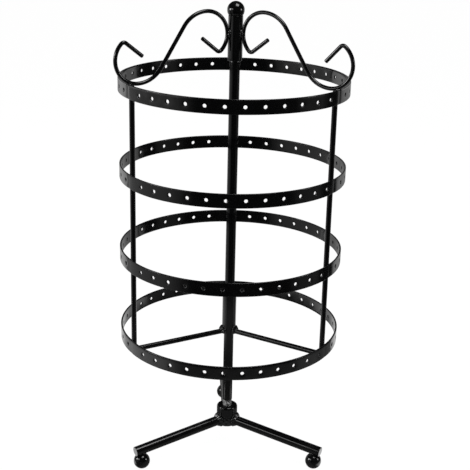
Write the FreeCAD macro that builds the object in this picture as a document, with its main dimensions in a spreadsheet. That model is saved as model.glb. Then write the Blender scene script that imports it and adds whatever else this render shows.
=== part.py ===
"""Rotating earring stand: a cage of punched hoops that turns on a fixed shaft with three legs.

Lengths are millimetres and angles are degrees. +Z is up, the floor is z = 0 and the shaft's axis is
x = y = 0. A leg, spoke, post or scroll is drawn along +X, with its radius from the shaft as x, and is
then turned about Z to its place, so one drawing serves all three of each.
"""
import FreeCAD
import Part
import Sketcher
import math
import os

TIERS = 4
BAYS = 3
EDGE_MATCH = 1e-6

# Driving sizes: name, value, meaning
SIZES = [
    ("foot_dia", "12", "ball foot"),
    ("foot_flat_dia", "4", "flat under each foot"),
    ("foot_seat", "0.35", "depth of the leg's seat in the foot"),
    ("leg_dia", "7", "leg's rod"),
    ("leg_reach", "79", "leg's outer end from the shaft's axis"),
    ("leg_overhang", "5.3", "leg's outer end beyond the foot's centre"),
    ("leg_weld", "1.6", "size of the bead round a leg at the hub"),
    ("leg_azimuth", "92.8", "azimuth of the rear leg"),
    ("hub_dia", "15.4", "hub's outside"),
    ("hub_height", "15.5", "hub's height"),
    ("hub_floor_gap", "17.6", "hub's underside above the floor"),
    ("hub_round", "1.5", "rounding of the hub's top edge"),
    ("shaft_dia", "7", "shaft's rod"),
    ("thread_dia", "6.8", "bare threaded lower end of the shaft"),
    ("thread_bare", "4.5", "length of bare thread above the hub"),
    ("tip_round", "3", "rounding of the shaft's tip"),
    ("weld_gap", "0.05", "joint gap between welded pieces"),
    ("running_gap", "0.08", "radial clearance of the sleeves on the shaft"),
    ("thrust_gap", "0.1", "clearance of the finial's spigot over the shaft's tip"),
    ("sleeve_dia", "10", "outside of both sleeves"),
    ("sleeve_length", "30.5", "length of both sleeves"),
    ("sleeve_rise", "11", "upper sleeve's lower end above the top hoop"),
    ("cage_height", "93.8", "cage's lower edge above the floor"),
    ("tier_pitch", "61", "height from hoop to hoop"),
    ("hoop_dia", "160", "outside of the hoops"),
    ("strip_height", "9.4", "height of the hoops' strip"),
    ("strip_thickness", "1", "thickness of the hoops' strip"),
    ("hole_dia", "2.7", "punched hole for an earring's hook"),
    ("hole_pitch", "12.95", "hole spacing along the strip"),
    ("hole_margin", "10", "least distance from a bay's end to a hole's centre, for the number of holes"),
    ("row_gap", "21.5", "from a row's last hole to the next row's first, past a front post"),
    ("hoop_1_angle", "3", "turn of the bottom hoop, whose front row is centred on the front at 0"),
    ("hoop_2_angle", "1.8", "turn of the second hoop"),
    ("hoop_3_angle", "2.6", "turn of the third hoop"),
    ("hoop_4_angle", "1.2", "turn of the top hoop"),
    ("post_dia", "3.5", "post's rod"),
    ("post_azimuth", "90", "azimuth of the rear post"),
    ("spoke_dia", "3.5", "spoke's rod"),
    ("spoke_weld", "2", "size of the bead round a spoke at the sleeve"),
    ("wire_dia", "2.5", "scroll wire"),
    ("loop_radius", "15.7", "scroll loops, at the wire's centre"),
    ("scroll_height", "46.5", "scroll's top above the top hoop"),
    ("scroll_overhang", "9.9", "scroll's outer loop beyond the hoop"),
    ("scroll_slope", "57.5", "fall of the straight between the loops"),
    ("hook_bend", "2.5", "bend radius of the hook ends, at the wire's centre"),
    ("hook_heading", "38", "angle of the hook ends above level"),
    ("right_hook_heading", "47", "angle of the front right scroll's outer hook, which is bent further"),
    ("hook_angle", "84", "turn of the hook bends"),
    ("hook_length", "14.8", "straight of the hook ends"),
    ("finial_dia", "12", "finial's ball"),
    ("finial_sink", "2.3", "height of ball cut away for its seat on the sleeve"),
    ("spigot_length", "6", "finial's spigot in the upper sleeve"),
]

# Sizes that follow from the driving ones: name, formula, meaning
FORMULAS = [
    ("bay_angle", "360 / %d" % BAYS, "angle from post to post"),
    ("hub_top", "hub_floor_gap + hub_height", "hub's top above the floor"),
    ("hub_clear", "hub_dia / 2 + weld_gap", "radius kept clear for the hub"),
    ("foot_center", "sqrt((foot_dia / 2)^2 - (foot_flat_dia / 2)^2)", "foot's centre above the floor"),
    ("foot_reach", "leg_reach - leg_overhang", "foot's centre from the shaft's axis"),
    ("leg_fall", "hub_floor_gap - foot_center", "from the hub's underside to the foot's centre"),
    ("leg_run", "foot_reach - hub_dia / 2", "from the hub's side to the foot's centre"),
    ("leg_span", "sqrt(leg_fall^2 + leg_run^2)", "from the hub's lower edge to the foot's centre"),
    ("leg_slope", "atan2(leg_fall; leg_run) - asin((foot_dia / 2 - foot_seat) / leg_span)",
     "leg's fall: its underside meets the hub's lower edge and is seated in the foot"),
    ("leg_start", "hub_floor_gap + leg_dia / 2 / cos(leg_slope) + hub_dia / 2 * tan(leg_slope)",
     "height of the leg's axis at the shaft's axis"),
    ("bore_dia", "shaft_dia + 2 * running_gap", "sleeves' bore"),
    ("thread_top", "hub_top + thread_bare", "where the shaft's paint starts"),
    ("hoop_inner", "hoop_dia / 2 - strip_thickness", "hoops' inside radius"),
    ("hoop_top", "cage_height + %d * tier_pitch + strip_height" % (TIERS - 1), "top hoop's upper edge"),
    ("hole_step", "hole_pitch / (hoop_dia / 2) * 180 / pi", "angle from hole to hole"),
    ("holes_per_bay", "floor((pi * hoop_dia / %d - 2 * hole_margin) / hole_pitch) + 1" % BAYS,
     "holes in a row"),
    ("row_span", "hole_step * (holes_per_bay - 1)", "angle from a row's first hole to its last"),
    ("row_angle", "row_span + row_gap / (hoop_dia / 2) * 180 / pi", "angle from row to row"),
    ("post_radius", "hoop_inner - weld_gap - post_dia / 2", "posts' axes from the shaft's axis"),
    ("spoke_level", "cage_height + spoke_dia / 2", "spokes' axes above the floor"),
    ("spoke_start", "sleeve_dia / 2 + weld_gap", "spokes' inner ends"),
    ("spoke_end", "post_radius - post_dia / 2 - weld_gap", "spokes' outer ends"),
    ("sleeve_level", "hoop_top + sleeve_rise", "upper sleeve's lower end above the floor"),
    ("sleeve_top", "sleeve_level + sleeve_length", "upper sleeve's top above the floor"),
    ("spigot_level", "sleeve_top - spigot_length", "spigot's underside above the floor"),
    ("shaft_top", "spigot_level - thrust_gap", "shaft's tip above the floor"),
    ("finial_center", "sleeve_top + finial_dia / 2 - finial_sink", "ball's centre above the floor"),
    ("finial_seat", "sqrt((finial_dia / 2)^2 - (finial_dia / 2 - finial_sink)^2)", "ball's seat radius"),
    ("loop_outside", "loop_radius + wire_dia / 2", "outside radius of the scroll loops"),
    ("loop_in", "sleeve_dia / 2 + weld_gap + loop_outside", "inner loop's centre, against the sleeve"),
    ("loop_out", "hoop_dia / 2 + scroll_overhang - loop_outside", "outer loop's centre"),
    ("loop_high", "hoop_top + scroll_height - loop_outside", "inner loop's centre above the floor"),
    ("loop_low", "hoop_top + weld_gap + sqrt(loop_outside^2 - (hoop_inner - loop_out)^2)",
     "outer loop's centre above the floor, with the wire on the hoop's edge"),
    ("post_seat", "post_radius - post_dia / 2 - loop_out", "post's inner side from the loop's centre"),
    ("post_top", "loop_low - sqrt(loop_outside^2 - post_seat^2) - weld_gap", "posts' tops, under the wire"),
    ("shoulder_half_run", "(loop_out - loop_in) / 2", "half the level distance between the loops"),
    ("shoulder_half_fall", "(loop_high - loop_low) / 2 + loop_radius", "half the fall between the loops"),
    ("shoulder_radius", "(shoulder_half_run * sin(scroll_slope) - shoulder_half_fall * cos(scroll_slope))"
     " / (1 - cos(scroll_slope))", "bends from the loops to the straight"),
]

doc = FreeCAD.newDocument("earring_stand")
dims = doc.addObject("Spreadsheet::Sheet", "dims")
parts = []


def fill_sheet():
    """Write the driving sizes as numbers and the others as formulas, each under its own alias."""
    rows = [(name, text, note) for name, text, note in SIZES]
    rows += [(name, "=" + text, note) for name, text, note in FORMULAS]
    for row, (name, text, note) in enumerate(rows, start=1):
        dims.set("A%d" % row, name)
        dims.set("B%d" % row, text)
        dims.setAlias("B%d" % row, name)
        dims.set("C%d" % row, note)
    doc.recompute()


def number(expression):
    """Value of an expression of sheet names, as a plain number."""
    result = dims.evalExpression(expression)
    return getattr(result, "Value", result)


def bind(thing, **expressions):
    """Bind properties of an object to expressions; a double underscore in a name stands for a dot."""
    for name, expression in expressions.items():
        thing.setExpression(name.replace("__", "."), expression)


def add_part(thing, azimuth=None, height=None):
    """Take an object as a sub-part, turned about Z and raised by expressions."""
    thing.Placement = FreeCAD.Placement(FreeCAD.Vector(), FreeCAD.Rotation(FreeCAD.Vector(0, 0, 1), 0))
    if azimuth:
        bind(thing, Placement__Rotation__Angle=azimuth)
    if height:
        bind(thing, Placement__Base__z=height)
    parts.append(thing)


def bay_azimuth(first, bay):
    """Azimuth of the piece in one bay, counted from the rear one."""
    return "dims.%s + %d * dims.bay_angle" % (first, bay)


def new_body(name):
    body = doc.addObject("PartDesign::Body", name)
    body.Label = name
    return body


def origin_feature(body, role):
    return [feature for feature in body.Origin.OriginFeatures if feature.Role == role][0]


def new_sketch(body, name, role):
    sketch = body.newObject("Sketcher::SketchObject", name)
    sketch.AttachmentSupport = (origin_feature(body, role), [""])
    sketch.MapMode = "FlatFace"
    return sketch


def constrain(sketch, name, expression, *constraint):
    """Add one sketch constraint whose value is an expression of the sheet."""
    start = number(expression)
    if constraint[0] == "Angle":
        start = math.radians(start)
    index = sketch.addConstraint(Sketcher.Constraint(*constraint, start))
    sketch.renameConstraint(index, name)
    sketch.setExpression("Constraints." + name, expression)


def place_point(sketch, name, x, y, geometry, point):
    """Hold a point at (x, y), expressions or None for zero."""
    if x is None:
        sketch.addConstraint(Sketcher.Constraint("PointOnObject", geometry, point, -2))
    else:
        constrain(sketch, name + "_x", x, "DistanceX", -1, 1, geometry, point)
    if y is None:
        sketch.addConstraint(Sketcher.Constraint("PointOnObject", geometry, point, -1))
    else:
        constrain(sketch, name + "_y", y, "DistanceY", -1, 1, geometry, point)


def circle(sketch, name, diameter, x=None, y=None):
    """Circle of a given diameter, centred at (x, y)."""
    center = FreeCAD.Vector(number(x) if x else 0, number(y) if y else 0, 0)
    ring = Part.Circle(center, FreeCAD.Vector(0, 0, 1), number(diameter) / 2)
    geometry = sketch.addGeometry(ring)
    place_point(sketch, name + "_center", x, y, geometry, 3)
    constrain(sketch, name + "_dia", diameter, "Diameter", geometry)


def outline(sketch, corners):
    """Closed outline of straight sides through corners (x, y), expressions or None for zero."""
    points = [FreeCAD.Vector(number(x) if x else 0, number(y) if y else 0, 0) for x, y in corners]
    count = len(points)
    for index in range(count):
        sketch.addGeometry(Part.LineSegment(points[index], points[(index + 1) % count]))
    for index, (x, y) in enumerate(corners):
        sketch.addConstraint(Sketcher.Constraint("Coincident", index, 2, (index + 1) % count, 1))
        place_point(sketch, "corner_%d" % index, x, y, index, 1)


def turned(body, kind, name, corners, axis=None):
    """Revolution or groove of an outline in the XZ plane, about Z or about one side of the outline."""
    sketch = new_sketch(body, name + "_outline", "XZ_Plane")
    outline(sketch, corners)
    feature = body.newObject("PartDesign::" + kind, name)
    feature.Profile = sketch
    feature.ReferenceAxis = (sketch, [axis or "V_Axis"])
    feature.Angle = 360
    doc.recompute()
    return feature


def rounded(body, name, base, radius, height, amount):
    """Fillet of the circular edge of a given radius and height."""
    names = []
    for index, edge in enumerate(base.Shape.Edges, start=1):
        ring = edge.Curve
        if isinstance(ring, Part.Circle):
            off = max(abs(ring.Radius - number(radius)), abs(ring.Center.z - number(height)))
            if off < EDGE_MATCH:
                names.append("Edge%d" % index)
    fillet = body.newObject("PartDesign::Fillet", name)
    fillet.Base = (base, names)
    bind(fillet, Radius=amount)


def leg_outline(radius):
    """Half section of a rod of a given radius along a leg's axis; its first side is the axis."""
    end = "dims.leg_start - dims.leg_reach * tan(dims.leg_slope)"
    across = "(%s) * sin(dims.leg_slope)" % radius
    up = "(%s) * cos(dims.leg_slope)" % radius
    return [
        (None, "dims.leg_start"),
        ("dims.leg_reach", end),
        ("dims.leg_reach + " + across, end + " + " + up),
        (across, "dims.leg_start + " + up),
    ]


def make_hub():
    """Collar with the shaft's threaded hole and a rounded top edge."""
    body = new_body("base_hub")
    bore = "dims.thread_dia / 2 + dims.weld_gap"
    ring = turned(body, "Revolution", "hub_ring", [
        (bore, "dims.hub_floor_gap"),
        ("dims.hub_dia / 2", "dims.hub_floor_gap"),
        ("dims.hub_dia / 2", "dims.hub_top"),
        (bore, "dims.hub_top"),
    ])
    rounded(body, "hub_top_round", ring, "dims.hub_dia / 2", "dims.hub_top", "dims.hub_round")
    add_part(body)


def make_leg(bay):
    """Sloping rod, coped to the hub and cut square at its outer end."""
    body = new_body("base_leg_%d" % (bay + 1))
    turned(body, "Revolution", "leg_rod_%d" % bay, leg_outline("dims.leg_dia / 2"), "Edge1")
    turned(body, "Groove", "leg_cope_%d" % bay, [
        (None, None),
        ("dims.hub_clear", None),
        ("dims.hub_clear", "2 * dims.hub_top"),
        (None, "2 * dims.hub_top"),
    ])
    add_part(body, bay_azimuth("leg_azimuth", bay))


def make_foot(bay):
    """Ball with a flat to stand on and a seat for the leg."""
    body = new_body("foot_ball_%d" % (bay + 1))
    sketch = new_sketch(body, "ball_outline_%d" % bay, "XZ_Plane")
    reach = number("dims.foot_reach")
    radius = number("dims.foot_dia / 2")
    middle = number("dims.foot_center")
    edge = number("dims.foot_flat_dia / 2")
    low = FreeCAD.Vector(reach, 0, 0)
    rim = FreeCAD.Vector(reach + edge, 0, 0)
    side = FreeCAD.Vector(reach + radius, middle, 0)
    high = FreeCAD.Vector(reach, middle + radius, 0)
    sketch.addGeometry(Part.LineSegment(low, rim))
    sketch.addGeometry(Part.Arc(rim, side, high))
    sketch.addGeometry(Part.LineSegment(high, low))
    sketch.addConstraint(Sketcher.Constraint("Coincident", 0, 2, 1, 1))
    sketch.addConstraint(Sketcher.Constraint("Coincident", 1, 2, 2, 1))
    sketch.addConstraint(Sketcher.Constraint("Coincident", 2, 2, 0, 1))
    place_point(sketch, "low", "dims.foot_reach", None, 0, 1)
    place_point(sketch, "rim", "dims.foot_reach + dims.foot_flat_dia / 2", None, 0, 2)
    place_point(sketch, "high", "dims.foot_reach", "dims.foot_center + dims.foot_dia / 2", 2, 1)
    constrain(sketch, "ball_radius", "dims.foot_dia / 2", "Radius", 1)
    ball = body.newObject("PartDesign::Revolution", "ball_%d" % bay)
    ball.Profile = sketch
    ball.ReferenceAxis = (sketch, ["Edge3"])
    ball.Angle = 360
    doc.recompute()
    seat = leg_outline("dims.leg_dia / 2 + dims.weld_gap")
    turned(body, "Groove", "ball_seat_%d" % bay, seat, "Edge1")
    add_part(body, bay_azimuth("leg_azimuth", bay))


def make_leg_welds():
    """Three beads, each round a leg at the hub and level with the hub's underside."""
    body = new_body("leg_welds")
    inner = "dims.leg_dia / 2 + dims.weld_gap"
    outer = "dims.leg_dia / 2 + dims.leg_weld"
    toe = "dims.leg_dia / 2 + 4 * dims.weld_gap"
    crest = "dims.hub_dia / 2 + dims.leg_weld / 4"
    end = "dims.hub_dia / 2 + 3 * dims.leg_weld / 2"

    def point(along, across):
        return (
            "(%s) * cos(dims.leg_slope) + (%s) * sin(dims.leg_slope)" % (along, across),
            "dims.leg_start - (%s) * sin(dims.leg_slope) + (%s) * cos(dims.leg_slope)" % (along, across),
        )

    sketch = new_sketch(body, "leg_bead_outline", "XZ_Plane")
    outline(sketch, [point("0", inner), point(end, inner), point(end, toe), point(crest, outer),
                     point("0", outer)])
    axis = sketch.addGeometry(Part.LineSegment(
        FreeCAD.Vector(0, number("dims.leg_start"), 0),
        FreeCAD.Vector(1, number("dims.leg_start - tan(dims.leg_slope)"), 0)), True)
    place_point(sketch, "axis_start", None, "dims.leg_start", axis, 1)
    sketch.addConstraint(Sketcher.Constraint("Parallel", axis, 0))
    constrain(sketch, "axis_length", "dims.hub_dia", "Distance", axis)
    bead = body.newObject("PartDesign::Revolution", "leg_bead")
    bead.Profile = sketch
    bead.ReferenceAxis = (sketch, ["Axis0"])
    bead.Angle = 360
    doc.recompute()
    trim = turned(body, "Groove", "leg_bead_trim", [
        (None, None),
        ("dims.hub_dia", None),
        ("dims.hub_dia", "dims.hub_floor_gap"),
        ("dims.hub_clear", "dims.hub_floor_gap"),
        ("dims.hub_clear", "2 * dims.hub_top"),
        (None, "2 * dims.hub_top"),
    ])
    repeat_in_bays(body, "leg_beads", [bead, trim])
    add_part(body, "dims.leg_azimuth")


def repeat_in_bays(body, name, features):
    """Copy features round the shaft's axis, once for each bay."""
    pattern = body.newObject("PartDesign::PolarPattern", name)
    pattern.Originals = features
    pattern.Axis = (origin_feature(body, "Z_Axis"), [""])
    pattern.Angle = 360
    pattern.Occurrences = BAYS
    body.Tip = pattern
    doc.recompute()


def make_shaft():
    """Rod with a bare threaded lower end in the hub and a rounded tip under the finial."""
    body = new_body("center_shaft")
    rod = turned(body, "Revolution", "shaft_rod", [
        (None, "dims.hub_floor_gap"),
        ("dims.thread_dia / 2", "dims.hub_floor_gap"),
        ("dims.thread_dia / 2", "dims.thread_top"),
        ("dims.shaft_dia / 2", "dims.thread_top"),
        ("dims.shaft_dia / 2", "dims.shaft_top"),
        (None, "dims.shaft_top"),
    ])
    rounded(body, "shaft_tip", rod, "dims.shaft_dia / 2", "dims.shaft_top", "dims.tip_round")
    add_part(body)


def make_sleeve(name, height):
    """Plain tube that turns on the shaft."""
    body = new_body(name)
    sketch = new_sketch(body, name + "_section", "XY_Plane")
    circle(sketch, "outside", "dims.sleeve_dia")
    circle(sketch, "bore", "dims.bore_dia")
    tube = body.newObject("PartDesign::Pad", name + "_tube")
    tube.Profile = sketch
    bind(tube, Length="dims.sleeve_length")
    add_part(body, height=height)


def make_hoop(tier):
    """Ring of flat strip with three rows of punched holes, the widest gap of them at the rear post."""
    body = new_body("hoop_%d" % (tier + 1))
    section = new_sketch(body, "strip_section_%d" % tier, "XY_Plane")
    circle(section, "outside", "dims.hoop_dia")
    circle(section, "inside", "2 * dims.hoop_inner")
    strip = body.newObject("PartDesign::Pad", "strip_%d" % tier)
    strip.Profile = section
    bind(strip, Length="dims.strip_height")
    doc.recompute()
    spot = new_sketch(body, "hole_outline_%d" % tier, "YZ_Plane")
    circle(spot, "hole", "dims.hole_dia", y="dims.strip_height / 2")
    spot.setExpression("AttachmentOffset.Base.z", "dims.hoop_inner - dims.strip_thickness")
    hole = body.newObject("PartDesign::Pocket", "hole_%d" % tier)
    hole.Profile = spot
    hole.Reversed = True
    bind(hole, Length="3 * dims.strip_thickness")
    doc.recompute()
    row = doc.addObject("PartDesign::PolarPattern", "hole_row_%d" % tier)
    bind(row, Angle="dims.row_span", Occurrences="dims.holes_per_bay")
    rows = doc.addObject("PartDesign::PolarPattern", "hole_rows_%d" % tier)
    bind(rows, Angle="%d * dims.row_angle" % (BAYS - 1))
    rows.Occurrences = BAYS
    for pattern in (row, rows):
        pattern.Axis = (origin_feature(body, "Z_Axis"), [""])
        body.addObject(pattern)
    holes = body.newObject("PartDesign::MultiTransform", "holes_%d" % tier)
    holes.Originals = [hole]
    holes.Transformations = [row, rows]
    body.Tip = holes
    front = "dims.post_azimuth + 180 + dims.hoop_%d_angle" % (tier + 1)
    first = front + " - dims.row_span / 2 - %s * dims.row_angle" % ((BAYS - 1) / 2)
    add_part(body, first, "dims.cage_height + %d * dims.tier_pitch" % tier)


def make_post(bay):
    """Upright rod inside the hoops, under the scroll wire."""
    post = doc.addObject("Part::Cylinder", "post_%d" % (bay + 1))
    post.Label = post.Name
    bind(post, Radius="dims.post_dia / 2", Height="dims.post_top - dims.cage_height")
    azimuth = bay_azimuth("post_azimuth", bay)
    add_part(post, azimuth, "dims.cage_height")
    bind(post, Placement__Base__x="dims.post_radius * cos(%s)" % azimuth,
         Placement__Base__y="dims.post_radius * sin(%s)" % azimuth)


def make_spoke(bay):
    """Level rod from the lower sleeve to a post."""
    body = new_body("spoke_%d" % (bay + 1))
    sketch = new_sketch(body, "spoke_section_%d" % bay, "YZ_Plane")
    circle(sketch, "rod", "dims.spoke_dia", y="dims.spoke_level")
    sketch.setExpression("AttachmentOffset.Base.z", "dims.spoke_start")
    rod = body.newObject("PartDesign::Pad", "spoke_rod_%d" % bay)
    rod.Profile = sketch
    bind(rod, Length="dims.spoke_end - dims.spoke_start")
    add_part(body, bay_azimuth("post_azimuth", bay))


def make_spoke_welds():
    """Three beads, each round a spoke at the lower sleeve and level with its lower end."""
    body = new_body("spoke_welds")
    inner = "dims.spoke_level + dims.spoke_dia / 2 + dims.weld_gap"
    outer = "dims.spoke_level + dims.spoke_dia / 2 + dims.spoke_weld"
    toe = "dims.spoke_level + dims.spoke_dia / 2 + 4 * dims.weld_gap"
    crest = "dims.sleeve_dia / 2 + dims.spoke_weld / 4"
    end = "dims.sleeve_dia / 2 + 3 * dims.spoke_weld / 2"
    sketch = new_sketch(body, "spoke_bead_outline", "XZ_Plane")
    outline(sketch, [(None, inner), (end, inner), (end, toe), (crest, outer), (None, outer)])
    axis = sketch.addGeometry(Part.LineSegment(
        FreeCAD.Vector(0, number("dims.spoke_level"), 0),
        FreeCAD.Vector(1, number("dims.spoke_level"), 0)), True)
    place_point(sketch, "axis_start", None, "dims.spoke_level", axis, 1)
    sketch.addConstraint(Sketcher.Constraint("Horizontal", axis))
    constrain(sketch, "axis_length", "dims.sleeve_dia", "Distance", axis)
    bead = body.newObject("PartDesign::Revolution", "spoke_bead")
    bead.Profile = sketch
    bead.ReferenceAxis = (sketch, ["Axis0"])
    bead.Angle = 360
    doc.recompute()
    trim = turned(body, "Groove", "spoke_bead_trim", [
        (None, None),
        ("2 * dims.sleeve_dia", None),
        ("2 * dims.sleeve_dia", "dims.cage_height"),
        ("dims.spoke_start", "dims.cage_height"),
        ("dims.spoke_start", "2 * dims.cage_height"),
        (None, "2 * dims.cage_height"),
    ])
    repeat_in_bays(body, "spoke_beads", [bead, trim])
    add_part(body, "dims.post_azimuth")


def scroll_geometry(sketch, outer_heading):
    """Draw a scroll's centre line: hook, bend, loop and shoulder of each end, with a straight between.

    The ends are alike but for their headings, turned by half a turn. Each hook is drawn from its free
    end, and the arcs turn anticlockwise, so an arc's second point is the bend's hook, the loop's bend or
    the shoulder's loop.
    """
    loop, bend, shoulder = [
        number("dims." + name) for name in ("loop_radius", "hook_bend", "shoulder_radius")
    ]
    slope, turn = [math.radians(number("dims." + name)) for name in ("scroll_slope", "hook_angle")]

    def ray(angle, length):
        return FreeCAD.Vector(length * math.cos(angle), length * math.sin(angle), 0)

    def arc(center, radius, start, end):
        return Part.Arc(*[center + ray(angle, radius) for angle in (start, (start + end) / 2, end)])

    saddles = []
    ends = (("loop_in", "loop_high", "hook_heading", 0), ("loop_out", "loop_low", outer_heading, math.pi))
    for x, y, tilt, half in ends:
        center = FreeCAD.Vector(number("dims." + x), number("dims." + y), 0)
        heading = math.radians(number("dims." + tilt))
        crown = half + math.pi / 2
        wrap = half + heading - turn + 3 * math.pi / 2
        bend_center = center + ray(wrap, loop - bend)
        corner = bend_center + ray(wrap + turn, bend)
        shoulder_center = center + ray(crown, loop - shoulder)
        sketch.addGeometry(Part.LineSegment(corner + ray(half + heading, number("dims.hook_length")), corner))
        sketch.addGeometry(arc(bend_center, bend, wrap, wrap + turn))
        sketch.addGeometry(arc(center, loop, crown, wrap))
        sketch.addGeometry(arc(shoulder_center, shoulder, crown - slope, crown))
        saddles.append(shoulder_center + ray(crown - slope, shoulder))
    sketch.addGeometry(Part.LineSegment(*saddles))


def scroll_path(sketch, outer_heading):
    """Centre line of a scroll, held by tangency and by the sheet's sizes.

    The inner loop lies against the upper sleeve and the outer loop rests on the top hoop's edge.
    """
    scroll_geometry(sketch, outer_heading)
    start, end, middle = 1, 2, 3
    straight = 8
    for first, tip in ((0, start), (4, end)):
        hook, bend, loop, shoulder = range(first, first + 4)
        sketch.addConstraint(Sketcher.Constraint("Tangent", hook, end, bend, end))
        sketch.addConstraint(Sketcher.Constraint("Tangent", bend, start, loop, end))
        sketch.addConstraint(Sketcher.Constraint("Tangent", loop, start, shoulder, end))
        sketch.addConstraint(Sketcher.Constraint("Tangent", shoulder, start, straight, tip))
        sketch.addConstraint(Sketcher.Constraint("Vertical", shoulder, middle, loop, middle))
        name = "inner" if first == 0 else "outer"
        constrain(sketch, name + "_loop", "dims.loop_radius", "Radius", loop)
        constrain(sketch, name + "_bend", "dims.hook_bend", "Radius", bend)
        constrain(sketch, name + "_turn", "dims.hook_angle", "Angle", bend)
        constrain(sketch, name + "_hook", "dims.hook_length", "Distance", hook)
    place_point(sketch, "inner_center", "dims.loop_in", "dims.loop_high", 2, middle)
    place_point(sketch, "outer_center", "dims.loop_out", "dims.loop_low", 6, middle)
    sketch.addConstraint(Sketcher.Constraint("Equal", 3, 7))
    constrain(sketch, "inner_heading", "dims.hook_heading - 180", "Angle", 0)
    constrain(sketch, "outer_heading", "dims." + outer_heading, "Angle", 4)
    constrain(sketch, "slope", "-dims.scroll_slope", "Angle", straight)


def make_scroll(bay):
    """S-shaped wire between the upper sleeve and the top hoop, with a straight hook at each end."""
    body = new_body("scroll_%d" % (bay + 1))
    path = new_sketch(body, "scroll_path_%d" % bay, "XZ_Plane")
    scroll_path(path, "right_hook_heading" if bay == BAYS - 1 else "hook_heading")
    doc.recompute()
    section = body.newObject("Sketcher::SketchObject", "wire_section_%d" % bay)
    section.AttachmentSupport = (path, ["Edge1"])
    section.MapMode = "NormalToEdge"
    section.MapPathParameter = 0
    circle(section, "wire", "dims.wire_dia")
    wire = body.newObject("PartDesign::AdditivePipe", "scroll_wire_%d" % bay)
    wire.Profile = section
    wire.Spine = (path, ["Edge%d" % index for index in range(1, len(path.Shape.Edges) + 1)])
    add_part(body, bay_azimuth("post_azimuth", bay))


def make_finial():
    """Ball with a flat seat on the upper sleeve and a spigot in its bore."""
    body = new_body("finial_ball")
    spigot = number("dims.shaft_dia / 2")
    seat = number("dims.finial_seat")
    radius = number("dims.finial_dia / 2")
    heights = [number("dims." + name) for name in ("spigot_level", "sleeve_top", "finial_center")]
    bottom, shelf, middle = heights
    points = [(0, bottom), (spigot, bottom), (spigot, shelf), (seat, shelf), (0, middle + radius)]
    corners = [FreeCAD.Vector(x, y, 0) for x, y in points]
    sketch = new_sketch(body, "finial_outline", "XZ_Plane")
    for start, end in zip(corners[:3], corners[1:4]):
        sketch.addGeometry(Part.LineSegment(start, end))
    sketch.addGeometry(Part.Arc(corners[3], FreeCAD.Vector(radius, middle, 0), corners[4]))
    sketch.addGeometry(Part.LineSegment(corners[4], corners[0]))
    for index in range(5):
        sketch.addConstraint(Sketcher.Constraint("Coincident", index, 2, (index + 1) % 5, 1))
    place_point(sketch, "bottom", None, "dims.spigot_level", 0, 1)
    place_point(sketch, "spigot", "dims.shaft_dia / 2", "dims.spigot_level", 1, 1)
    place_point(sketch, "shelf", "dims.shaft_dia / 2", "dims.sleeve_top", 2, 1)
    place_point(sketch, "seat", "dims.finial_seat", "dims.sleeve_top", 3, 1)
    place_point(sketch, "top", None, "dims.finial_center + dims.finial_dia / 2", 4, 1)
    constrain(sketch, "ball_radius", "dims.finial_dia / 2", "Radius", 3)
    ball = body.newObject("PartDesign::Revolution", "finial_turned")
    ball.Profile = sketch
    ball.ReferenceAxis = (sketch, ["V_Axis"])
    ball.Angle = 360
    add_part(body)


def check_and_write():
    """Stop on any failed object or bad shape, then write each sub-part to its own file."""
    doc.recompute()
    for thing in doc.Objects:
        if "Invalid" in thing.State or "Error" in thing.State:
            raise RuntimeError("%s failed: %s" % (thing.Label, thing.State))
    os.makedirs("parts", exist_ok=True)
    for part in parts:
        if part.Shape.isNull() or not part.Shape.isValid() or not part.Shape.Solids:
            raise RuntimeError("%s has no valid solid" % part.Label)
    for part in parts:
        part.Shape.exportStep("parts/%s.step" % part.Label)


fill_sheet()
make_hub()
make_shaft()
for bay in range(BAYS):
    make_leg(bay)
    make_foot(bay)
    make_post(bay)
    make_spoke(bay)
    make_scroll(bay)
make_leg_welds()
make_spoke_welds()
make_sleeve("lower_sleeve", "dims.cage_height")
make_sleeve("upper_sleeve", "dims.sleeve_level")
make_finial()
for tier in range(TIERS):
    make_hoop(tier)
check_and_write()
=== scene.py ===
"""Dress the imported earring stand: finished pieces, black enamel, bare thread, studio stage and camera.

Lengths are metres and azimuths are degrees about the shaft, counted from +X towards +Y. The front is -Y.
Bay 1 is at the rear, bay 2 at the front left and bay 3 at the front right.
"""
import math

import bmesh
import bpy
import numpy as np
from bpy.props import FloatProperty, FloatVectorProperty, IntProperty, PointerProperty
from mathutils import Matrix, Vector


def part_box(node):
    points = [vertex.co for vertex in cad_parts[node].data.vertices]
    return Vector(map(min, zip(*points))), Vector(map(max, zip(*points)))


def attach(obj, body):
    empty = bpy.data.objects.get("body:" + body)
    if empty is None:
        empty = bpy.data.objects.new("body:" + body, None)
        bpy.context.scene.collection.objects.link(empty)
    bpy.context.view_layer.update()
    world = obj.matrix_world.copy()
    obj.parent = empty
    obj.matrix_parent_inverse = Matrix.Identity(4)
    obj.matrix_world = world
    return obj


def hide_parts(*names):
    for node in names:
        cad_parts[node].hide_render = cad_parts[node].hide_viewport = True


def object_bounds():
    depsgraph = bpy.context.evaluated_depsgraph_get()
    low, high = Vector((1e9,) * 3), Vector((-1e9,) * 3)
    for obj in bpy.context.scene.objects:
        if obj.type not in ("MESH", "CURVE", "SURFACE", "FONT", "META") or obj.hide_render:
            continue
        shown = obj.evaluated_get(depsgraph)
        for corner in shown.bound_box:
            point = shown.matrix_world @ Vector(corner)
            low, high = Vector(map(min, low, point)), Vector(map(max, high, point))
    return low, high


bl_info = {
    "name": "Earring stand dresser",
    "version": (1, 0, 0),
    "blender": (4, 5, 0),
    "location": "3D View > Sidebar > Stand",
    "description": "Builds the finished pieces, materials and stage of a rotating earring stand",
    "category": "Object",
}

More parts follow.
